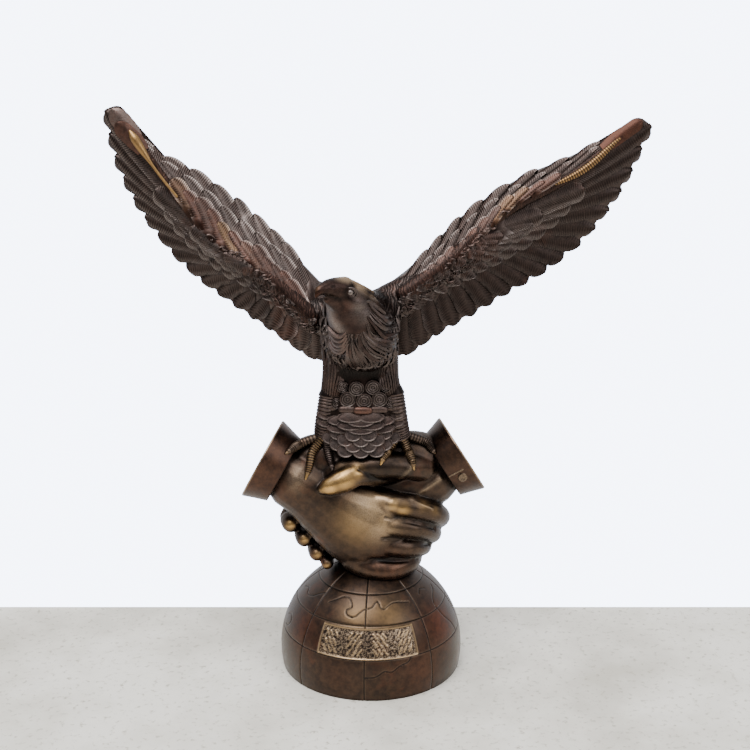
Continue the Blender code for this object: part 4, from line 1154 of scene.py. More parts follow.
def flight_feathers(plumage, chance):
    """The rows below the ridge. The first one reaches the trailing edge, and the last one is the loosest."""
    wing = plumage.wing
    dark = wing.side > 0
    shapes = []
    for number, (count, start, end, lift, thickness, bare, loose, limit) in enumerate(FLIGHT_ROWS):
        long = number == 0
        for share in row_shares(count):
            if share > limit:
                continue
            shift = chance.uniform(-loose, loose) * 1.5 / count
            fall = end if long else end * (0.74 + 0.36 * share)
            fall += chance.uniform(-loose, loose) * (end - start) * 0.6

            def line(s, share=share, start=start, fall=fall, shift=shift):
                return wing.spot(share + shift * (1.0 - s), start + (fall - start) * s)

            half_width = spacing(wing, share, count) * (0.62 - 0.10 * (1.0 - end))
            half_width *= 1.0 + chance.uniform(-loose, loose) * 0.5
            stand_off = lift + chance.uniform(0, loose) * 3
            # The right wing's feathers below the ridge get painted shade, the longest row most
            tone = Tone(
                rub=-0.14 if long else -0.08, rim=0.95 if number in (1, 2) else 0.62,
                warm=max(0.0, chance.uniform(-0.5, 0.3)) if number == 3 else 0.0,
                painted_shade=(0.42 if long else 0.2) if dark else 0.0,
                curl=0.6 * (1.0 - smoothstep(0.3, 0.6, share)) if number > 1 else 0.0,
            )
            shapes.append(plumage.feather(
                line, half_width, stand_off, thickness,
                bare=bare - 0.34 * smoothstep(0.62, 0.84, share) if long else bare,
                tilt=FEATHER_TILT if long else ROW_TILT,
                tip=BLUNT_TIP + 3.4 * smoothstep(0.55, 0.8, share) if long else BLUNT_TIP,
                root_lift=0.4 if number < 2 else 0.85, tone=tone,
            ))
    return shapes


def leading_feathers(plumage, chance):
    """The rows above the ridge. The last one, on the ridge itself, is short, coarse and reddish."""
    wing = plumage.wing
    shapes = []
    for number, (count, share, low, high, lift, thickness, loose, reach, slim) in enumerate(LEADING_ROWS):
        coarse = number == 2
        for k in range(count):
            first = 0.01 + share * (k / count) ** 1.2
            shift = chance.uniform(-loose, loose) * 0.3

            def line(s, first=first, reach=reach, low=low, high=high, shift=shift):
                return wing.spot(first + reach * s, -max(0.001, low + (high - low) * s + shift * s))

            room = math.dist(wing.along("leading", first), wing.along("ridge", first))
            bright = chance.uniform(-0.3, 0.22) * smoothstep(0.15, 0.35, first) if coarse else 0.0
            half_width = max(LEAST_WIDTH, room * slim) * chance.uniform(1 - loose, 1 + loose)
            warm = chance.uniform(*((0.2, 0.6) if coarse else (0.0, 0.1)))
            if coarse:
                tone = Tone(rub=-0.08, rim=0.85, warm=warm, gold=max(0.0, bright))
            else:
                tone = Tone(rub=0.0 if wing.side > 0 else 0.14, rim=0.7, warm=warm)
            shapes.append(plumage.feather(
                line, half_width, lift, thickness, bare=0.25, tilt=0.0 if coarse else -1.0,
                tip=1.8 if coarse else 3.6, root_lift=0.8 if coarse else 0.4, tone=tone,
            ))
    return shapes


def tip_blades(plumage):
    """Smooth blades at the wing's tip: along its upper edge on the right wing, bent down on the left."""
    wing = plumage.wing
    right = wing.side > 0
    shapes = []
    for first, last, half_width, lift, wear in TIP_BLADES[wing.side]:

        def line(s, first=first, last=last):
            share = first + (last - first) * s
            if right:
                return mix(wing.along("ridge", share), wing.along("leading", share), 0.35)
            return mix(wing.along("ridge", share), wing.along("trailing", share), 0.45 * s * s)

        # The right wing's blade gets painted shade
        tone = Tone(rub=wear, warm=0.6, painted_shade=0.3) if right else Tone(rub=wear, warm=0.45)
        shapes.append(plumage.feather(
            line, half_width, lift, lift + 4.0, bare=0.0, tilt=0.0, root_lift=1.0, smooth=True, tone=tone,
        ))
    return shapes


def back_feathers(plumage):
    """The plainer rows on the wing's back."""
    wing = plumage.wing
    shapes = []
    for count, start, end, lift, thickness, bare in BACK_ROWS:
        for share in row_shares(count):

            def line(s, share=share, start=start, end=end):
                return wing.spot(share, start + (end - start) * s)

            shapes.append(plumage.feather(
                line, spacing(wing, share, count) * 0.6, lift, thickness, bare=bare, tilt=-FEATHER_TILT,
                back=True, coarse=3.0, across=(-1.0, 0.0, 1.0),
            ))
    return shapes


def wing_shapes(drawing, wing, sizes):
    plumage = Plumage(drawing, wing, sizes)
    chance = random.Random(WING_SEEDS[wing.side])
    return [
        wing_core(drawing, wing), arm_shape(drawing, wing), ridge_roll(drawing, wing),
        *flight_feathers(plumage, chance), *wing_curls(drawing, wing, chance),
        *leading_feathers(plumage, chance), *tip_blades(plumage), *back_feathers(plumage),
    ]


def wing_curls(drawing, wing, chance):
    """Small curls strewn over the small feathers of a wing's inner half."""
    shapes = []
    count, shares, falls = WING_CURLS
    for _ in range(count):
        share = chance.uniform(*shares)
        x, z = wing.spot(share, chance.uniform(*falls) * (1.0 - 0.5 * share))
        turn = math.radians(chance.uniform(-40, 60))
        ahead = (math.cos(turn), math.sin(turn))
        bend = chance.choice((-1.0, 1.0))
        size = chance.uniform(0.6, 0.95)
        spots = [
            (x + (ahead[0] * a - ahead[1] * b * bend) * size, z + (ahead[1] * a + ahead[0] * b * bend) * size)
            for a, b, _ in WING_CURL
        ]
        stations = [
            (wing.side * x, y - WING_CURL_LIFT, z, radius, radius)
            for (x, z), y, (_, _, radius) in zip(spots, wing.skin(spots), WING_CURL)
        ]
        marks = Marks(rub=0.24, warm=0.15)
        shapes.append(tube(drawing.stations(stations), sides=4, steps=2, marks=marks))
    return shapes


def ridge_roll(drawing, wing):
    """The rolled rib on the ridge's outer part, worn bright: ribbed on the right wing, smooth on the left."""
    ribbed = wing.side > 0
    stations = []
    for k in range(ROLL_STATIONS):
        s = k / (ROLL_STATIONS - 1)
        if ribbed:
            radius = 3.7 * math.sin(math.pi * (0.04 + 0.9 * s)) ** 0.6
        else:
            radius = (1.3 + 3.0 * smoothstep(0.45, 0.85, s)) * math.sqrt(1.0 - max(0.0, s - 0.9) * 8)
        place = wing.on_ridge(0.64 + 0.27 * s, 4.6 if ribbed else 6.0)
        stations.append((*place, radius, radius))
    return tube(
        drawing.stations(stations), sides=10, steps=1, ribs=0.06 if ribbed else 0.0,
        marks=Marks(rub=0.1, gold=0.45, warm=0.4),
    )


def neck_spot(angle, height):
    """A point on the neck's outside, by degrees from straight ahead."""
    rows = sorted(NECK, key=lambda row: row[2])
    height = max(rows[0][2], min(rows[-1][2], height))
    for low, high in zip(rows, rows[1:]):
        if height <= high[2]:
            x, y, z, wide, thin = mix(low, high, (height - low[2]) / (high[2] - low[2]))
            break
    turn = math.radians(angle)
    return Vector((x + math.sin(turn) * wide, y - math.cos(turn) * thin, z))


def strand(drawing, tree, spots, sizes, sides=5, steps=3, marks=Marks(rub=0.3), widest=1e3):
    """A thin strand laid on the skin through spots, each with a half width and a stand-off.

    It ends before a step that is longer than the widest, and is left out where it has no two steps.
    """
    stations = []
    for guess, (size, off) in zip(spots, sizes):
        spot, normal, _, _ = tree.find_nearest(drawing.place(guess))
        place = spot + normal * (off * drawing.scale)
        if stations and (place - Vector(stations[-1][:3])).length > widest * drawing.scale:
            break
        stations.append((*place, size * drawing.scale, size * 0.9 * drawing.scale))
    if len(stations) < 3:
        return None
    return tube(stations, sides=sides, facing=normal, steps=steps, marks=marks)


def between(guides, count):
    """The guides with more lines between each two of them."""
    for a, b in zip(guides, guides[1:]):
        for k in range(count):
            yield [mix(p, q, k / count) for p, q in zip(a, b)]
    yield list(guides[-1])


def neck_shapes(drawing, tree):
    """The strands on the throat, the breast and the neck."""
    shapes = []
    chance = random.Random(3)
    for spots in between(THROAT_GUIDES, THROAT_STRANDS):
        marks = Marks(rub=0.30, warm=0.25)
        shapes.append(strand(drawing, tree, spots, CURVED_STRAND, sides=6, marks=marks))
    for number, spots in enumerate(between(BREAST_GUIDES, BREAST_STRANDS)):
        lift = 0.9 * (number % 2)
        girth = chance.uniform(0.65, 1.2)
        sizes = [(size * girth, off + lift) for size, off in LONG_STRAND]
        nudged = [
            Vector(p) + Vector((chance.uniform(-1.2, 1.2), 0.0, chance.uniform(-2.4, 2.4))) for p in spots
        ]
        marks = Marks(rub=chance.uniform(0.05, 0.36))
        shapes.append(strand(drawing, tree, nudged, sizes, steps=4, marks=marks))
    for count, top, fall, first, last, drift in HACKLE_ROWS:
        for k in range(count):
            root = first + (last - first) * k / (count - 1)
            long = fall * chance.uniform(0.85, 1.15)
            spots = []
            for n in range(len(HACKLE_STRAND)):
                share = n / (len(HACKLE_STRAND) - 1)
                wave = math.sin(share * 5.0 + k) * 2.5
                spots.append(neck_spot(root + drift * share + wave, top - long * share))
            shapes.append(strand(
                drawing, tree, spots, HACKLE_STRAND, sides=4, marks=Marks(rub=0.24), widest=HACKLE_STEP,
            ))
    return [shape for shape in shapes if shape]


def curl_shapes(drawing, tree):
    """Short curls strewn over the breast's sides, the shoulders and the back."""
    shapes = []
    chance = random.Random(17)
    for low, high, count in CURLS:
        for _ in range(count):
            guess = Vector([chance.uniform(a, b) for a, b in zip(low, high)])
            _, normal, _, _ = tree.find_nearest(drawing.place(guess))
            down = Vector((chance.uniform(-0.7, 0.7), 0.0, -1.0))
            down = (down - normal * normal.dot(down)).normalized()
            side = down.cross(normal) * chance.choice((-1.0, 1.0))
            size = chance.uniform(0.8, 1.25)
            spots = [guess + (down * a + side * b) * size for a, b in SMALL_CURL]
            shapes.append(strand(drawing, tree, spots, CURL_STRAND, sides=4, steps=2, widest=CURL_STEP))
    return [shape for shape in shapes if shape]


def scale_shape(drawing, centre, across, up, tip_out, rub, grooves=0):
    """A scale like a roof tile, whose lower edge stands off the belly, or a ringed one."""
    steps = 15
    if grooves:
        profile = [((k + 0.4) / (2 * grooves) * 0.9, -0.5 * (k % 2)) for k in range(2 * grooves)]
    else:
        profile = [(0.2, 0.25), (0.5, 0.15), (0.74, 0.0)]
    profile += [(0.84, -0.1), (0.92, 0.35), (1.0, 0.1), (0.96, -5.0)]
    rings = []
    marks = []
    for number, (share, rise) in enumerate(profile):
        ring = []
        ring_marks = []
        for k in range(steps):
            turn = 2 * math.pi * k / steps
            low = -math.sin(turn)
            x = math.cos(turn) * across * share
            z = -low * up * share
            out = 1.2 + rise + tip_out * low * share
            ring.append(drawing.place(Vector(centre) + Vector((x, -out, z))))
            edge = 0.9 <= share and rise > 0
            sunk = 0.95 if rise < -1 else 0.8 if grooves and number % 2 and number < 2 * grooves else 0.0
            worn = 0.6 * max(0.2, low) if edge else rub * (1 - sunk)
            ring_marks.append(Marks(sunk, worn))
        rings.append(ring)
        marks.append(ring_marks)
    return loft(rings, marks)


def belly_shapes(drawing):
    """Scales over the lower belly, each row over the next one down, and the ringed ones above them."""
    shapes = []
    for counts, apart, low, step, across, up, tip_out, rub in BELLY_SCALES:
        for row, count in enumerate(counts):
            for k in range(count):
                x = (k - (count - 1) / 2) * apart
                place = (x - 1, -35.6 + 0.012 * x**2, low + row * step)
                shapes.append(scale_shape(drawing, place, across, up, tip_out=tip_out, rub=rub))
    apart, height, across, up = BELLY_PLATES
    for k in (-2, -1, 0, 1, 2):
        place = (k * apart + 1, -33.6 + 0.010 * (k * apart) ** 2, height)
        shapes.append(plate_shape(drawing, place, across, up, 0.6 if k == 0 else 0.1))
    for *place, size in ROSETTES:
        shapes.append(scale_shape(drawing, place, size, size * 0.95, tip_out=0.5, grooves=3, rub=0.4))
    return shapes


def plate_shape(drawing, centre, across, up, warm):
    """One flat plate of the row across the belly, with rounded corners."""
    x, y, z = centre
    stations = [
        (x + share * across, y - 0.4 + 0.5 * share * share, z, up * size, 2.4)
        for share, size in ((-0.86, 0.94), (-0.4, 1.0), (0.4, 1.0), (0.86, 0.94))
    ]
    return tube(drawing.stations(stations), sides=10, steps=2, marks=Marks(rub=0.2, warm=warm))


def leg_shapes(drawing, tree):
    """Ringed shanks, and the strands on the thighs."""
    shapes = []
    for stations in SHANKS:
        fine = [(*row[:3], row[3] + 0.7, row[4] + 0.9) for row in smooth_path(stations, 15)]
        marks = Marks(rub=0.3, warm=0.1)
        shapes.append(tube(drawing.stations(fine), sides=16, steps=1, ribs=0.10, period=3, marks=marks))
    for stations in THIGHS:
        outward = 1.0 if stations[0][0] > 0 else -1.0
        for k in range(12):
            angle = math.radians(-70 + 140 * k / 11 + 12 * outward)
            spots = []
            for share in (0.0, 0.35, 0.7, 1.0):
                x, y, z, wide, thin = mix(stations[0], stations[2], share)
                spots.append((x + math.sin(angle) * wide * 0.95, y - math.cos(angle) * thin * 0.95, z))
            sizes = ((1.2, 0.2), (1.5, 0.3 + 0.4 * (k % 2)), (1.3, 0.4), (0.7, -0.2))
            marks = Marks(rub=0.16, warm=0.08 if outward < 0 else 0.0)
            shapes.append(strand(drawing, tree, spots, sizes, marks=marks))
    return shapes


def toe_shapes(drawing, hands_tree):
    """Ringed toes with smooth claws, laid on the hands."""
    shapes = []
    for root, middle, tip, gold in TOES:
        rows = [(*drawing.place(root), TOE_ROOT * drawing.scale, TOE_ROOT * drawing.scale)]
        laid = ((middle, TOE_ROOT, 0.45), (mix(middle, tip, 0.6), TOE_END, 0.5), (tip, CLAW_END, 0.6))
        for point, radius, off in laid:
            spot, normal, _, _ = hands_tree.find_nearest(drawing.place(point))
            place = spot + normal * (radius * off * drawing.scale)
            rows.append((*place, radius * drawing.scale, radius * drawing.scale))
        path = smooth_path(rows, 13)
        claw = len(path) - 9
        marks = Marks(rub=0.24, gold=gold)
        shapes.append(tube(path[:claw + 1], sides=10, steps=1, ribs=0.13, marks=marks))
        tip_rows = [(*row[:3], row[3] * 0.78, row[4] * 0.78) for row in path[claw - 1::2]]
        marks = Marks(rub=0.24, gold=min(1.0, gold * 2.5))
        shapes.append(tube(tip_rows, sides=10, steps=1, marks=marks))
    return shapes


def tail_feather(drawing, turn):
    """A feather of the tail. turn runs from -1 at the fan's left to 1 at its right."""
    root = (turn * 16, 20, 88)
    tip = (turn * 37, 40 - 4 * abs(turn), -8 + 12 * turn**2)
    rings = []
    marks = []
    for i in range(TAIL_ROWS + 1):
        share = i / TAIL_ROWS
        x, y, z = mix(root, tip, share)
        room = max(0.0, share - 0.85) / 0.15
        wide = TAIL_HALF_WIDTH * (0.8 + 0.2 * min(1.0, share * 3)) * math.sqrt(max(0.04, 1.0 - room**2))
        low = i % 2
        ring = []
        ring_marks = []
        for u in WIDE:
            rise = FEATHER_CROWN * (1 - u * u) + (0.5 if u == 0.0 else (-0.3 if low else 0.3))
            drop = CHEVRON * abs(u) * wide * min(1.0, (1.0 - share) * 6)
            ring.append((x + u * wide, y + rise, z - drop))
            edge = abs(u) == 1.0 or u == 0.0
            sunk = 0.8 if low and not edge else 0.0
            worn = 0.45 if edge else 0.26 * (1 - low)
            ring_marks.append(Marks(sunk, worn))
        for u in (0.9, -0.9):
            ring.append((x + u * wide, y - 6.0, z))
            ring_marks.append(Marks(BEHIND_SHADE))
        rings.append([drawing.place(p) for p in ring])
        marks.append(ring_marks)
    return loft(rings, marks)


def tail_shapes(drawing):
    """A fan of long feathers behind the legs."""
    core = tube(drawing.stations(TAIL_CORE), sides=20, marks=Marks(cavity=0.5))
    turns = [2 * k / (TAIL_FEATHERS - 1) - 1 for k in range(TAIL_FEATHERS)]
    return [core, *(tail_feather(drawing, turn) for turn in turns)]


def eye_shapes(drawing):
    """The eye with its lids."""
    centre, radius = EYE
    shapes = [ball(drawing.place(centre), (radius * 0.8 * drawing.scale,) * 3, rub=0.7)]
    for reach, size, high in LIDS:
        stations = []
        for k in range(15):
            turn = 2 * math.pi * k / 14
            x = centre[0] + math.cos(turn) * radius * reach
            z = centre[2] + math.sin(turn) * radius * reach * 0.86 + high
            stations.append((x, centre[1] - 1.6 + abs(math.cos(turn)) * 1.2, z, size, size))
        shapes.append(tube(drawing.stations(stations), sides=8, steps=1, marks=Marks(rub=0.3)))
    return shapes


def shifted(drawing, line, by):
    return [drawing.place(Vector(point[:3]) + Vector(by)) for point in line]


def carve_head(head, drawing):
    """The mouth, the nostril, the brow with a painted shadow under it, the painted highlights on the crown
    and the throat, and the beak's worn ridge.
    """
    scale = drawing.scale
    skin = Skin(head)
    hollow = skin.relief(8)
    skin.paint("cavity", np.clip(hollow / HEAD_HOLLOW, 0.0, 1.0) * 0.8)
    skin.paint("cavity", skin.carve(shifted(drawing, MOUTH, (0, 0, 0)), 1.2 * scale, 0.5 * scale) * 0.8)
    # Painted shadow: the brow's groove is darkened as the shadow under the brow ridge
    brow = shifted(drawing, smooth_path(CROWN[1:], 4), (0.5, -2.5, -5.0))
    skin.paint("cavity", skin.carve(brow, 1.9 * scale, 1.0 * scale) * 0.9)
    place, size = NOSTRIL
    hole = np.linalg.norm(skin.points - np.array(drawing.place(place)), axis=1)
    dent = np.exp(-(hole / (size * scale)) ** 2)
    skin.push(-dent * 1.2 * scale)
    skin.paint("cavity", dent)
    # Painted highlight: a pale gleam, tinged gold, along the crown where the skin faces up, and the darkening
    # taken off the skin that faces up
    crown = shifted(drawing, smooth_path(CROWN, 4), (1.0, 1.5, 3.0))
    towards_nape = np.clip((skin.points[:, 0] - drawing.place((-20, 0, 0)).x) / (16.0 * scale), 0.0, 1.0)
    facing_up = np.clip((skin.normals[:, 2] - 0.55 + 0.40 * towards_nape) / 0.3, 0.0, 1.0)
    gleam = np.exp(-(skin.reach(crown) / (8.0 * scale)) ** 2) * facing_up
    gleam *= np.clip((skin.points[:, 0] - drawing.place((-24, 0, 0)).x) / (8.0 * scale), 0.0, 1.0)
    skin.paint("rub", gleam * 1.6)
    skin.paint("gold", gleam * 0.5)
    skin.paint("cavity", -facing_up)
    culmen = [drawing.place(p) for p in CULMEN]
    skin.paint("gold", np.exp(-(skin.reach(culmen) / (1.6 * scale)) ** 2) * 0.06)
    place, size = EYE
    socket = np.linalg.norm(skin.points - np.array(drawing.place(place)), axis=1)
    skin.paint("cavity", np.exp(-((socket / scale - size * 1.5) / 1.4) ** 2) * 0.7)
    # Painted highlight down the throat's left side
    throat = [drawing.place(p) for p in THROAT]
    skin.paint("rub", np.exp(-(skin.reach(throat) / (6.0 * scale)) ** 2) * 0.8)
    skin.paint("rub", skin.near(drawing, CHEEK_SPOTS))
    skin.paint("warm", skin.near(drawing, BEAK_SPOTS))
    low = skin.points[:, 2] < drawing.place((0, 0, 126)).z
    behind = skin.points[:, 1] > drawing.place((0, -40, 0)).y
    skin.paint("curl", np.where(low | behind, 1.0, 0.0))
    return skin.write()


def make_eagle(sizes, material, hands, hands_drawing):
    scale = sizes.eagle_height / EAGLE_DRAWN
    drawing = Drawing(hands_drawing.place(PERCH), scale)
    wings = (Wing(1.0, RIGHT_WING), Wing(-1.0, LEFT_WING))
    lower = [tube(drawing.stations(limb), sides=24, steps=4) for limb in (TORSO, *THIGHS, *SHANKS)]
    lower += [tube(drawing.stations(shoulder_stations(wing)), sides=20) for wing in wings]
    body = fused(lower, sizes.body_grain, 3)
    skin = Skin(body)
    skin.paint("cavity", 0.25 + np.clip(skin.relief(6) / BODY_HOLLOW, 0.0, 1.0))
    heights = skin.points[:, 2]
    skin.paint("curl", np.clip((heights - drawing.place((0, 0, 74)).z) / 0.006, 0.0, 1.0))
    skin.write()
    upper = [tube(drawing.stations(limb), sides=28, steps=4) for limb in (NECK, BEAK, JAW, CROWN)]
    place, radii = SKULL
    slope = Matrix.Rotation(math.radians(SKULL_SLOPE), 4, "Y")
    upper.append(ball(drawing.place(place), [radius * scale for radius in radii], slope, fineness=4))
    head = carve_head(fused(upper, sizes.head_grain, 3), drawing)
    tree = skin_tree([body, head])
    hands_bm = bmesh.new()
    hands_bm.from_mesh(hands.data)
    hands_tree = skin_tree([hands_bm])
    hands_bm.free()
    groups = [
        [body, head], *(wing_shapes(drawing, wing, sizes) for wing in wings), neck_shapes(drawing, tree),
        curl_shapes(drawing, tree), belly_shapes(drawing), leg_shapes(drawing, tree),
        toe_shapes(drawing, hands_tree), tail_shapes(drawing), eye_shapes(drawing),
    ]
    shapes = [bm for group in groups for bm in group]
    return finished_piece("eagle_casting", joined(shapes), material, "eagle")


# Materials

# Sizes of the patterns, in metres
CLOUD_SIZE = 0.035  # where the patina is thinner
MOTTLE_SIZE = 0.006  # brush marks of the colouring
GRAIN_SIZE = 0.0011  # grit of the mould: really about 0.3 mm, and drawn coarser so that it shows
CURL_SPACING = 0.002992  # between two cast curls
FLOOR_CLOUD_SIZE = 0.16
SPECK_SIZE = 0.006  # grit in the concrete: really about 2 mm, and drawn coarser so that it shows


def add_node(tree, kind, output=0, inputs=None, **settings):
    """Adds a node, sets it up, fills its inputs and returns the socket of one output.

    An input's value is a number, a colour or the socket that it is linked to.
    """
    node = tree.nodes.new("ShaderNode" + kind)
    for name, value in settings.items():
        setattr(node, name, value)
    for name, value in (inputs or {}).items():
        if isinstance(value, bpy.types.NodeSocket):
            tree.links.new(value, node.inputs[name])
        else:
            node.inputs[name].default_value = value
    return node.outputs[output] if node.outputs else None


def blank_material(name):
    material = bpy.data.materials.new(name)
    material.use_nodes = True
    tree = material.node_tree
    tree.nodes.clear()
    return material, tree


def rgba(colour):
    return (*colour, 1.0)


def thin_share(tree, clouds, mottle, warm):
    """Where the patina is so thin that the copper shows through it."""
    cloudy = add_node(tree, "MapRange", 0, {
        "Value": clouds, "From Min": 0.56, "From Max": 0.70, "To Min": 0.0, "To Max": 0.35,
    })
    thin = add_node(tree, "Math", 0, {0: cloudy, 1: warm}, operation="MAXIMUM")
    broken = add_node(tree, "MapRange", 0, {
        "Value": mottle, "From Min": 0.25, "From Max": 0.6, "To Min": 0.35, "To Max": 0.9,
    })
    return add_node(tree, "Math", 0, {0: thin, 1: broken}, operation="MULTIPLY")


def dirt_and_shade_share(tree, marks, wave, crevice):
    """Where the colour is darkened: painted shade from the ambient occlusion in crevices, the marks of
    hollows and of painted shade, and the furrows between the curls.
    """
    # Painted shade: the ambient occlusion darkens crevices as shade would
    openness = add_node(tree, "AmbientOcclusion", "AO", {"Distance": crevice}, samples=6)
    hollow = add_node(tree, "MapRange", 0, {
        "Value": openness, "From Min": 0.25, "From Max": 0.85, "To Min": 0.85, "To Max": 0.0,
    })
    sunk = add_node(tree, "Math", 0, {0: hollow, 1: marks["cavity"]}, operation="MAXIMUM")
    between = add_node(tree, "MapRange", 0, {
        "Value": wave, "From Min": 0.25, "From Max": 0.6, "To Min": 0.8, "To Max": 0.0,
    })
    furrow = add_node(tree, "Math", 0, {0: marks["curl"], 1: between}, operation="MULTIPLY")
    return add_node(tree, "Math", 0, {0: sunk, 1: furrow}, operation="MAXIMUM")


def wear_and_highlight_share(tree, rub, curls, grain, clean):
    """Where the patina is paled: worn at edges and on the curls' backs, and by the painted highlights of the
    rub mark, broken by the grit.
    """
    crests = add_node(tree, "MapRange", 0, {
        "Value": curls, "From Min": 0.7, "From Max": 1.0, "To Min": 0.0, "To Max": 0.3,
    })
    worn = add_node(tree, "Math", 0, {0: rub, 1: crests}, operation="MAXIMUM")
    broken = add_node(tree, "MapRange", 0, {
        "Value": grain, "From Min": 0.30, "From Max": 0.62, "To Min": 0.45, "To Max": 1.0,
    })
    worn = add_node(tree, "Math", 0, {0: worn, 1: broken}, operation="MULTIPLY")
    return add_node(tree, "Math", 0, {0: worn, 1: clean}, operation="MULTIPLY")


def gold_share(tree, gold, mottle, clean):
    """Where handling has rubbed the metal bright, and where the crown's painted highlight is tinted gold."""
    broken = add_node(tree, "MapRange", 0, {
        "Value": mottle, "From Min": 0.25, "From Max": 0.6, "To Min": 0.75, "To Max": 1.0,
    })
    bright = add_node(tree, "Math", 0, {0: gold, 1: broken}, operation="MULTIPLY")
    return add_node(tree, "Math", 0, {0: bright, 1: clean}, operation="MULTIPLY")


def patina(name, patina_colour, dark_colour, worn_colour, colours, roughness, crevice, wax):
    """Cast copper with a dark brown patina under wax, worn pale at the edges and gold where it is handled.

    The patina is darkened by painted shade in the hollows, within the crevice distance, and paled by painted
    highlights as well as by wear. It is reddish where it is thin. The wax, by its weight, gives a soft white
    sheen.
    """
    material, tree = blank_material(name)
    place = add_node(tree, "TexCoord", "Object")
    marks = {mark: add_node(tree, "Attribute", "Fac", attribute_name=mark) for mark in MARKS}
    clouds, mottle, grain = (
        add_node(tree, "TexNoise", "Fac", {
            "Vector": place, "Scale": 1.0 / size, "Detail": detail, "Roughness": 0.6,
        })
        for size, detail in ((CLOUD_SIZE, 4.0), (MOTTLE_SIZE, 4.0), (GRAIN_SIZE, 2.0))
    )
    wave = add_node(tree, "TexWave", "Fac", {
        "Vector": place, "Scale": 2 * math.pi / (20 * CURL_SPACING), "Distortion": 9.0, "Detail": 1.0,
        "Detail Scale": 1.3,
    })
    curls = add_node(tree, "Math", 0, {0: marks["curl"], 1: wave}, operation="MULTIPLY")
    thick = add_node(tree, "MapRange", 0, {"Value": mottle, "From Min": 0.35, "From Max": 0.70})
    thin = thin_share(tree, clouds, mottle, marks["warm"])
    # Painted shade in crevices and hollows, with the dark of the furrows between the curls
    dirt_and_shade = dirt_and_shade_share(tree, marks, wave, crevice)
    clean = add_node(tree, "MapRange", 0, {"Value": dirt_and_shade, "To Min": 1.0, "To Max": 0.1})
    # Pale wear, with the painted highlights
    worn = wear_and_highlight_share(tree, marks["rub"], curls, grain, clean)
    gold = gold_share(tree, marks["gold"], mottle, clean)
    base = rgba(dark_colour)
    for share, over in (
        (thick, patina_colour), (thin, colours.red), (dirt_and_shade, colours.crevice), (worn, worn_colour),
        (gold, colours.gold),
    ):
        base = add_node(tree, "Mix", 2, {0: share, 6: base, 7: rgba(over)}, data_type="RGBA")
    polish = add_node(tree, "MapRange", 0, {
        "Value": gold, "To Min": roughness, "To Max": roughness - 0.10,
    })
    uneven = add_node(tree, "MapRange", 0, {
        "Value": mottle, "From Min": 0.3, "From Max": 0.7, "To Min": -0.05, "To Max": 0.07,
    })
    gloss = add_node(tree, "Math", 0, {0: polish, 1: uneven}, operation="ADD")
    grit = add_node(tree, "MapRange", 0, {"Value": grain, "To Min": 0.0, "To Max": 0.25})
    height = add_node(tree, "Math", 0, {0: curls, 1: grit}, operation="ADD")
    bump = add_node(tree, "Bump", 0, {"Strength": 0.7, "Distance": 0.0006, "Height": height})
    shader = add_node(tree, "BsdfPrincipled", 0, {
        "Base Color": base, "Metallic": 1.0, "Roughness": gloss, "Normal": bump,
        "Coat Weight": wax, "Coat Roughness": 0.32,
    })
    add_node(tree, "OutputMaterial", None, {"Surface": shader})
    return material


def floor_material(colours):
    """Pale polished concrete: sparse dark specks on broad soft clouds."""
    material, tree = blank_material("pale_concrete")
    place = add_node(tree, "TexCoord", "Object")
    base = rgba(colours.floor)
    for size, low, strength in ((FLOOR_CLOUD_SIZE, 0.42, 0.6), (SPECK_SIZE, 0.56, 0.8)):
        pattern = add_node(tree, "TexNoise", "Fac", {
            "Vector": place, "Scale": 1.0 / size, "Detail": 4.0, "Roughness": 0.6,
        })
        share = add_node(tree, "MapRange", 0, {
            "Value": pattern, "From Min": low, "From Max": 0.70, "To Min": 0.0, "To Max": strength,
        })
        base = add_node(
            tree, "Mix", 2, {0: share, 6: base, 7: rgba(colours.floor_dark)}, data_type="RGBA"
        )
    shader = add_node(tree, "BsdfPrincipled", 0, {"Base Color": base, "Roughness": 0.8})
    add_node(tree, "OutputMaterial", None, {"Surface": shader})
    return material


# Stage

# Soft lamps: name, place, side and power in watts
LAMPS = (("key", (-0.35, -0.55, 1.55), 1.0, 22.0), ("fill", (1.1, -0.9, 0.9), 0.9, 8.0))
LAMP_AIM = (0.0, 0.0, 0.25)
SURROUND_STRENGTH = 1.15
WALL_STRENGTH = 9.0
FLOOR_SIDE = 2.5
CAMERA_PLACE = (0.004, -1.15, 0.615)
CAMERA_DOWN = 15.7  # degrees under level
SENSOR_WIDTH = 36.0  # millimetres


def make_floor(sizes, colours):
    """A plain pale floor that ends behind the statue."""
    bm = bmesh.new()
    bmesh.ops.create_grid(bm, x_segments=1, y_segments=1, size=1.0)
    back = sizes.floor_behind
    matrix = Matrix.Translation((0.0, (back - FLOOR_SIDE) / 2, 0.0)) @ Matrix.Diagonal(
        (FLOOR_SIDE, (back + FLOOR_SIDE) / 2, 1.0, 1.0)
    )
    bmesh.ops.transform(bm, matrix=matrix, verts=bm.verts)
    floor = bpy.data.objects.new("floor", to_mesh(bm, "floor"))
    floor.data.materials.append(floor_material(colours))
    bpy.context.scene.collection.objects.link(floor)


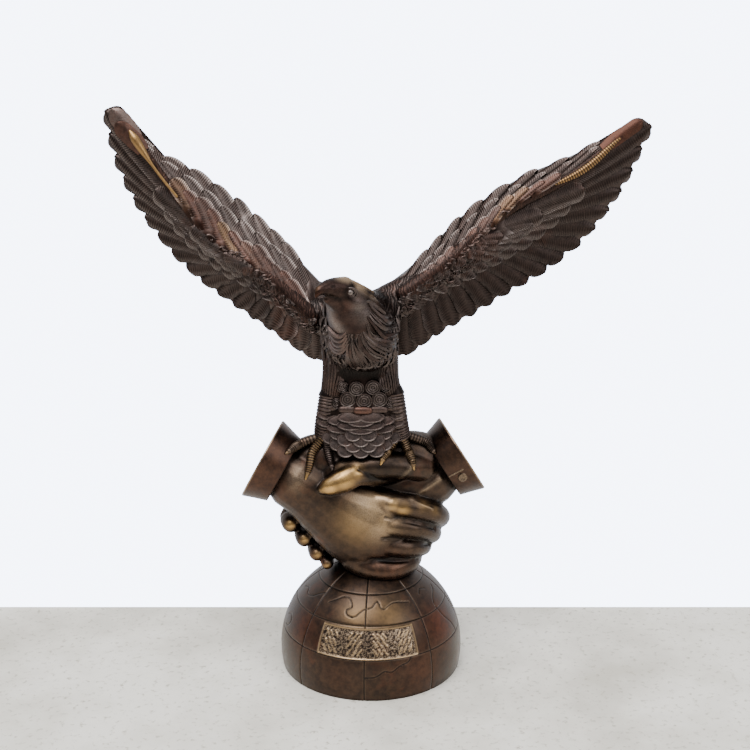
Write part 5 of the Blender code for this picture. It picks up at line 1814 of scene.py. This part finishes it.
def make_surround(colours):
    """A soft surround that is bright above and behind the statue, and a cool white wall to the camera."""
    world = bpy.data.worlds.new("surround")
    world.use_nodes = True
    tree = world.node_tree
    tree.nodes.clear()
    way = add_node(tree, "TexCoord", "Generated")
    split = add_node(tree, "SeparateXYZ", 0, {"Vector": way}).node
    behind = add_node(tree, "MapRange", 0, {
        "Value": split.outputs["Y"], "From Min": -0.5, "From Max": 0.7,
    })
    above = add_node(tree, "MapRange", 0, {
        "Value": split.outputs["Z"], "From Min": 0.0, "From Max": 0.8,
    })
    bright = add_node(tree, "Math", 0, {0: behind, 1: above}, operation="MAXIMUM")
    colour = add_node(
        tree, "Mix", 2, {0: bright, 6: rgba(colours.surround_dim), 7: rgba(colours.surround)},
        data_type="RGBA",
    )
    light = add_node(tree, "Background", 0, {"Color": colour, "Strength": SURROUND_STRENGTH})
    plain = add_node(tree, "Background", 0, {"Color": rgba(colours.wall), "Strength": WALL_STRENGTH})
    seen = add_node(tree, "LightPath", "Is Camera Ray")
    both = add_node(tree, "MixShader", 0, {0: seen, 1: light, 2: plain})
    add_node(tree, "OutputWorld", None, {"Surface": both})
    bpy.context.scene.world = world


def make_lamps():
    """Soft light from above on the left, and a weaker one from the right."""
    for name, place, size, energy in LAMPS:
        data = bpy.data.lights.new(name, "AREA")
        data.size = size
        data.energy = energy
        lamp = bpy.data.objects.new(name, data)
        lamp.location = place
        aim = Vector(LAMP_AIM) - lamp.location
        lamp.rotation_euler = aim.to_track_quat("-Z", "Y").to_euler()
        bpy.context.scene.collection.objects.link(lamp)


def make_camera(sizes):
    data = bpy.data.cameras.new("camera")
    data.sensor_width = SENSOR_WIDTH
    data.lens = sizes.lens
    camera = bpy.data.objects.new("camera", data)
    camera.location = CAMERA_PLACE
    camera.rotation_euler = (math.radians(90 - CAMERA_DOWN), 0.0, 0.0)
    bpy.context.scene.collection.objects.link(camera)
    bpy.context.scene.camera = camera


# Add-on

def length(name, description, default):
    return FloatProperty(name=name, description=description, unit="LENGTH", default=default)


def colour(name, description, hex_code):
    return FloatVectorProperty(
        name=name, description=description, subtype="COLOR", size=3, min=0.0, max=1.0,
        default=linear(hex_code),
    )


class StatueSizes(bpy.types.PropertyGroup):
    globe_radius: length("Globe radius", "Radius of the half globe", (GLOBE_HIGH.x - GLOBE_LOW.x) / 2)
    foot_tuck: length("Foot tuck", "How much its foot is narrower than the globe", 0.0018)
    globe_grain: length("Globe's mesh size", "Mesh size of the globe's front", 0.00085)
    groove_width: length("Groove width", "Width of the globe's engraved lines", 0.0010)
    groove_depth: length("Groove depth", "Depth of the globe's engraved lines", 0.0006)
    plate_rim: length("Plate rim", "Width of the name plate's raised rim", 0.0020)
    plate_height: length("Plate rim height", "How far the plate's rim stands out", 0.0011)
    stroke_width: length("Stroke width", "Half width of the plate's strokes", 0.00062)
    clearance: length("Clearance", "Gap between two castings", 0.0003)
    hands_span: length("Hands' span", "From one sleeve end to the other", 0.228)
    cuff_length: length("Cuff length", "Length of a sleeve end", 0.024)
    cuff_inner_radius: length("Cuff inner radius", "Radius at the wrist", 0.0335)
    cuff_outer_radius: length("Cuff outer radius", "Radius at the open end", 0.0400)
    cuff_wall: length("Cuff wall", "Width of the rim at the open end", 0.0035)
    cuff_recess: length("Cuff recess", "How deep the open end is sunk", 0.006)
    button_radius: length("Button radius", "Radius of the cuff's button", 0.0044)
    button_height: length("Button height", "How far the button stands out", 0.0014)
    hand_grain: length("Hands' mesh size", "Mesh size of the hands' skin", 0.00125)
    eagle_height: length("Eagle height", "From its ankles to its wing tips", 0.325)
    body_grain: length("Body mesh size", "Mesh size of the eagle's body", 0.0034)
    head_grain: length("Head mesh size", "Mesh size of the eagle's head and neck", 0.0017)
    barb_pitch: length("Barb pitch", "Distance between two barbs of a feather", 0.0023)
    barb_height: length("Barb height", "Height of a barb over its groove", 0.0006)
    floor_behind: length("Floor behind", "How far the floor runs on behind the statue", 0.11)
    lens: FloatProperty(name="Lens", description="Focal length of the camera", unit="CAMERA", default=61.15)


class StatueColours(bpy.types.PropertyGroup):
    patina: colour("Patina", "Brown patina on open surfaces", "#453326")
    patina_dark: colour("Dark patina", "Patina where it is thickest", "#2d211a")
    # Also the colour of the painted highlights on the hands
    worn: colour("Worn patina", "Patina worn pale on the globe and the hands", "#b8a084")
    plumage: colour("Plumage", "Patina of the feathers", "#3f2f29")
    plumage_dark: colour("Dark plumage", "Feathers' patina where it is thickest", "#261a17")
    # Also the colour of the painted highlights on the crown and the throat
    plumage_worn: colour("Worn plumage", "Feathers' edges and barbs", "#8c827d")
    red: colour("Red patina", "Thin patina through which the copper shows", "#6c3a24")
    # Also tints the painted highlight on the eagle's crown
    gold: colour("Rubbed metal", "Metal that handling has rubbed bright", "#d3a867")
    # Also the colour of the painted shade in crevices and hollows
    crevice: colour("Crevices", "Dirt and patina in the hollows", "#15100e")
    floor: colour("Floor", "Pale concrete", "#fdf9ee")
    floor_dark: colour("Floor clouds", "Darker clouds and specks in the concrete", "#b2ab9a")
    wall: colour("Wall", "Cool white wall behind the statue", "#e2ebff")
    surround: colour("Surround", "Pale surround", "#f6f7fa")
    surround_dim: colour("Dim surround", "The dimmer side that the statue faces", "#6c6c70")


class STATUE_OT_globe(bpy.types.Operator):
    """Make the half globe with its engraved lines and name plate"""

    bl_idname = "statue.globe"
    bl_label = "Half globe"

    def execute(self, context):
        colours = context.scene.statue_colours
        material = patina(
            "globe_waxed_patina_copper", colours.patina, colours.patina_dark, colours.worn, colours,
            roughness=0.38, crevice=0.004, wax=0.3,
        )
        make_globe(context.scene.statue_sizes, material)
        return {"FINISHED"}


class STATUE_OT_hands_and_eagle(bpy.types.Operator):
    """Make the clasped hands and the eagle, whose toes lie on them"""

    bl_idname = "statue.hands_and_eagle"
    bl_label = "Clasped hands and eagle"

    def execute(self, context):
        sizes = context.scene.statue_sizes
        colours = context.scene.statue_colours
        material = patina(
            "hands_waxed_patina_copper", colours.patina, colours.patina_dark, colours.worn, colours,
            roughness=0.36, crevice=0.012, wax=0.3,
        )
        hands, drawing = make_hands(sizes, material)
        material = patina(
            "eagle_waxed_patina_copper", colours.plumage, colours.plumage_dark, colours.plumage_worn,
            colours, roughness=0.42, crevice=0.005, wax=0.12,
        )
        make_eagle(sizes, material, hands, drawing)
        return {"FINISHED"}


class STATUE_OT_stage(bpy.types.Operator):
    """Make the floor, the lights, the surround and the camera"""

    bl_idname = "statue.stage"
    bl_label = "Stage"

    def execute(self, context):
        sizes = context.scene.statue_sizes
        colours = context.scene.statue_colours
        make_floor(sizes, colours)
        make_surround(colours)
        make_lamps()
        make_camera(sizes)
        return {"FINISHED"}


class STATUE_PT_panel(bpy.types.Panel):
    bl_idname = "STATUE_PT_panel"
    bl_label = "Copper eagle statue"
    bl_space_type = "VIEW_3D"
    bl_region_type = "UI"
    bl_category = "Statue"

    def draw(self, context):
        for group in (context.scene.statue_sizes, context.scene.statue_colours):
            for name in group.__annotations__:
                self.layout.prop(group, name)
        for operator in (STATUE_OT_globe, STATUE_OT_hands_and_eagle, STATUE_OT_stage):
            self.layout.operator(operator.bl_idname)


CLASSES = (
    StatueSizes, StatueColours, STATUE_OT_globe, STATUE_OT_hands_and_eagle, STATUE_OT_stage, STATUE_PT_panel,
)


def register():
    for cls in CLASSES:
        bpy.utils.register_class(cls)
    bpy.types.Scene.statue_sizes = PointerProperty(type=StatueSizes)
    bpy.types.Scene.statue_colours = PointerProperty(type=StatueColours)


def unregister():
    del bpy.types.Scene.statue_colours
    del bpy.types.Scene.statue_sizes
    for cls in reversed(CLASSES):
        bpy.utils.unregister_class(cls)


def main():
    register()
    bpy.ops.statue.globe()
    bpy.ops.statue.hands_and_eagle()
    bpy.ops.statue.stage()


if __name__ == "__main__":
    main()
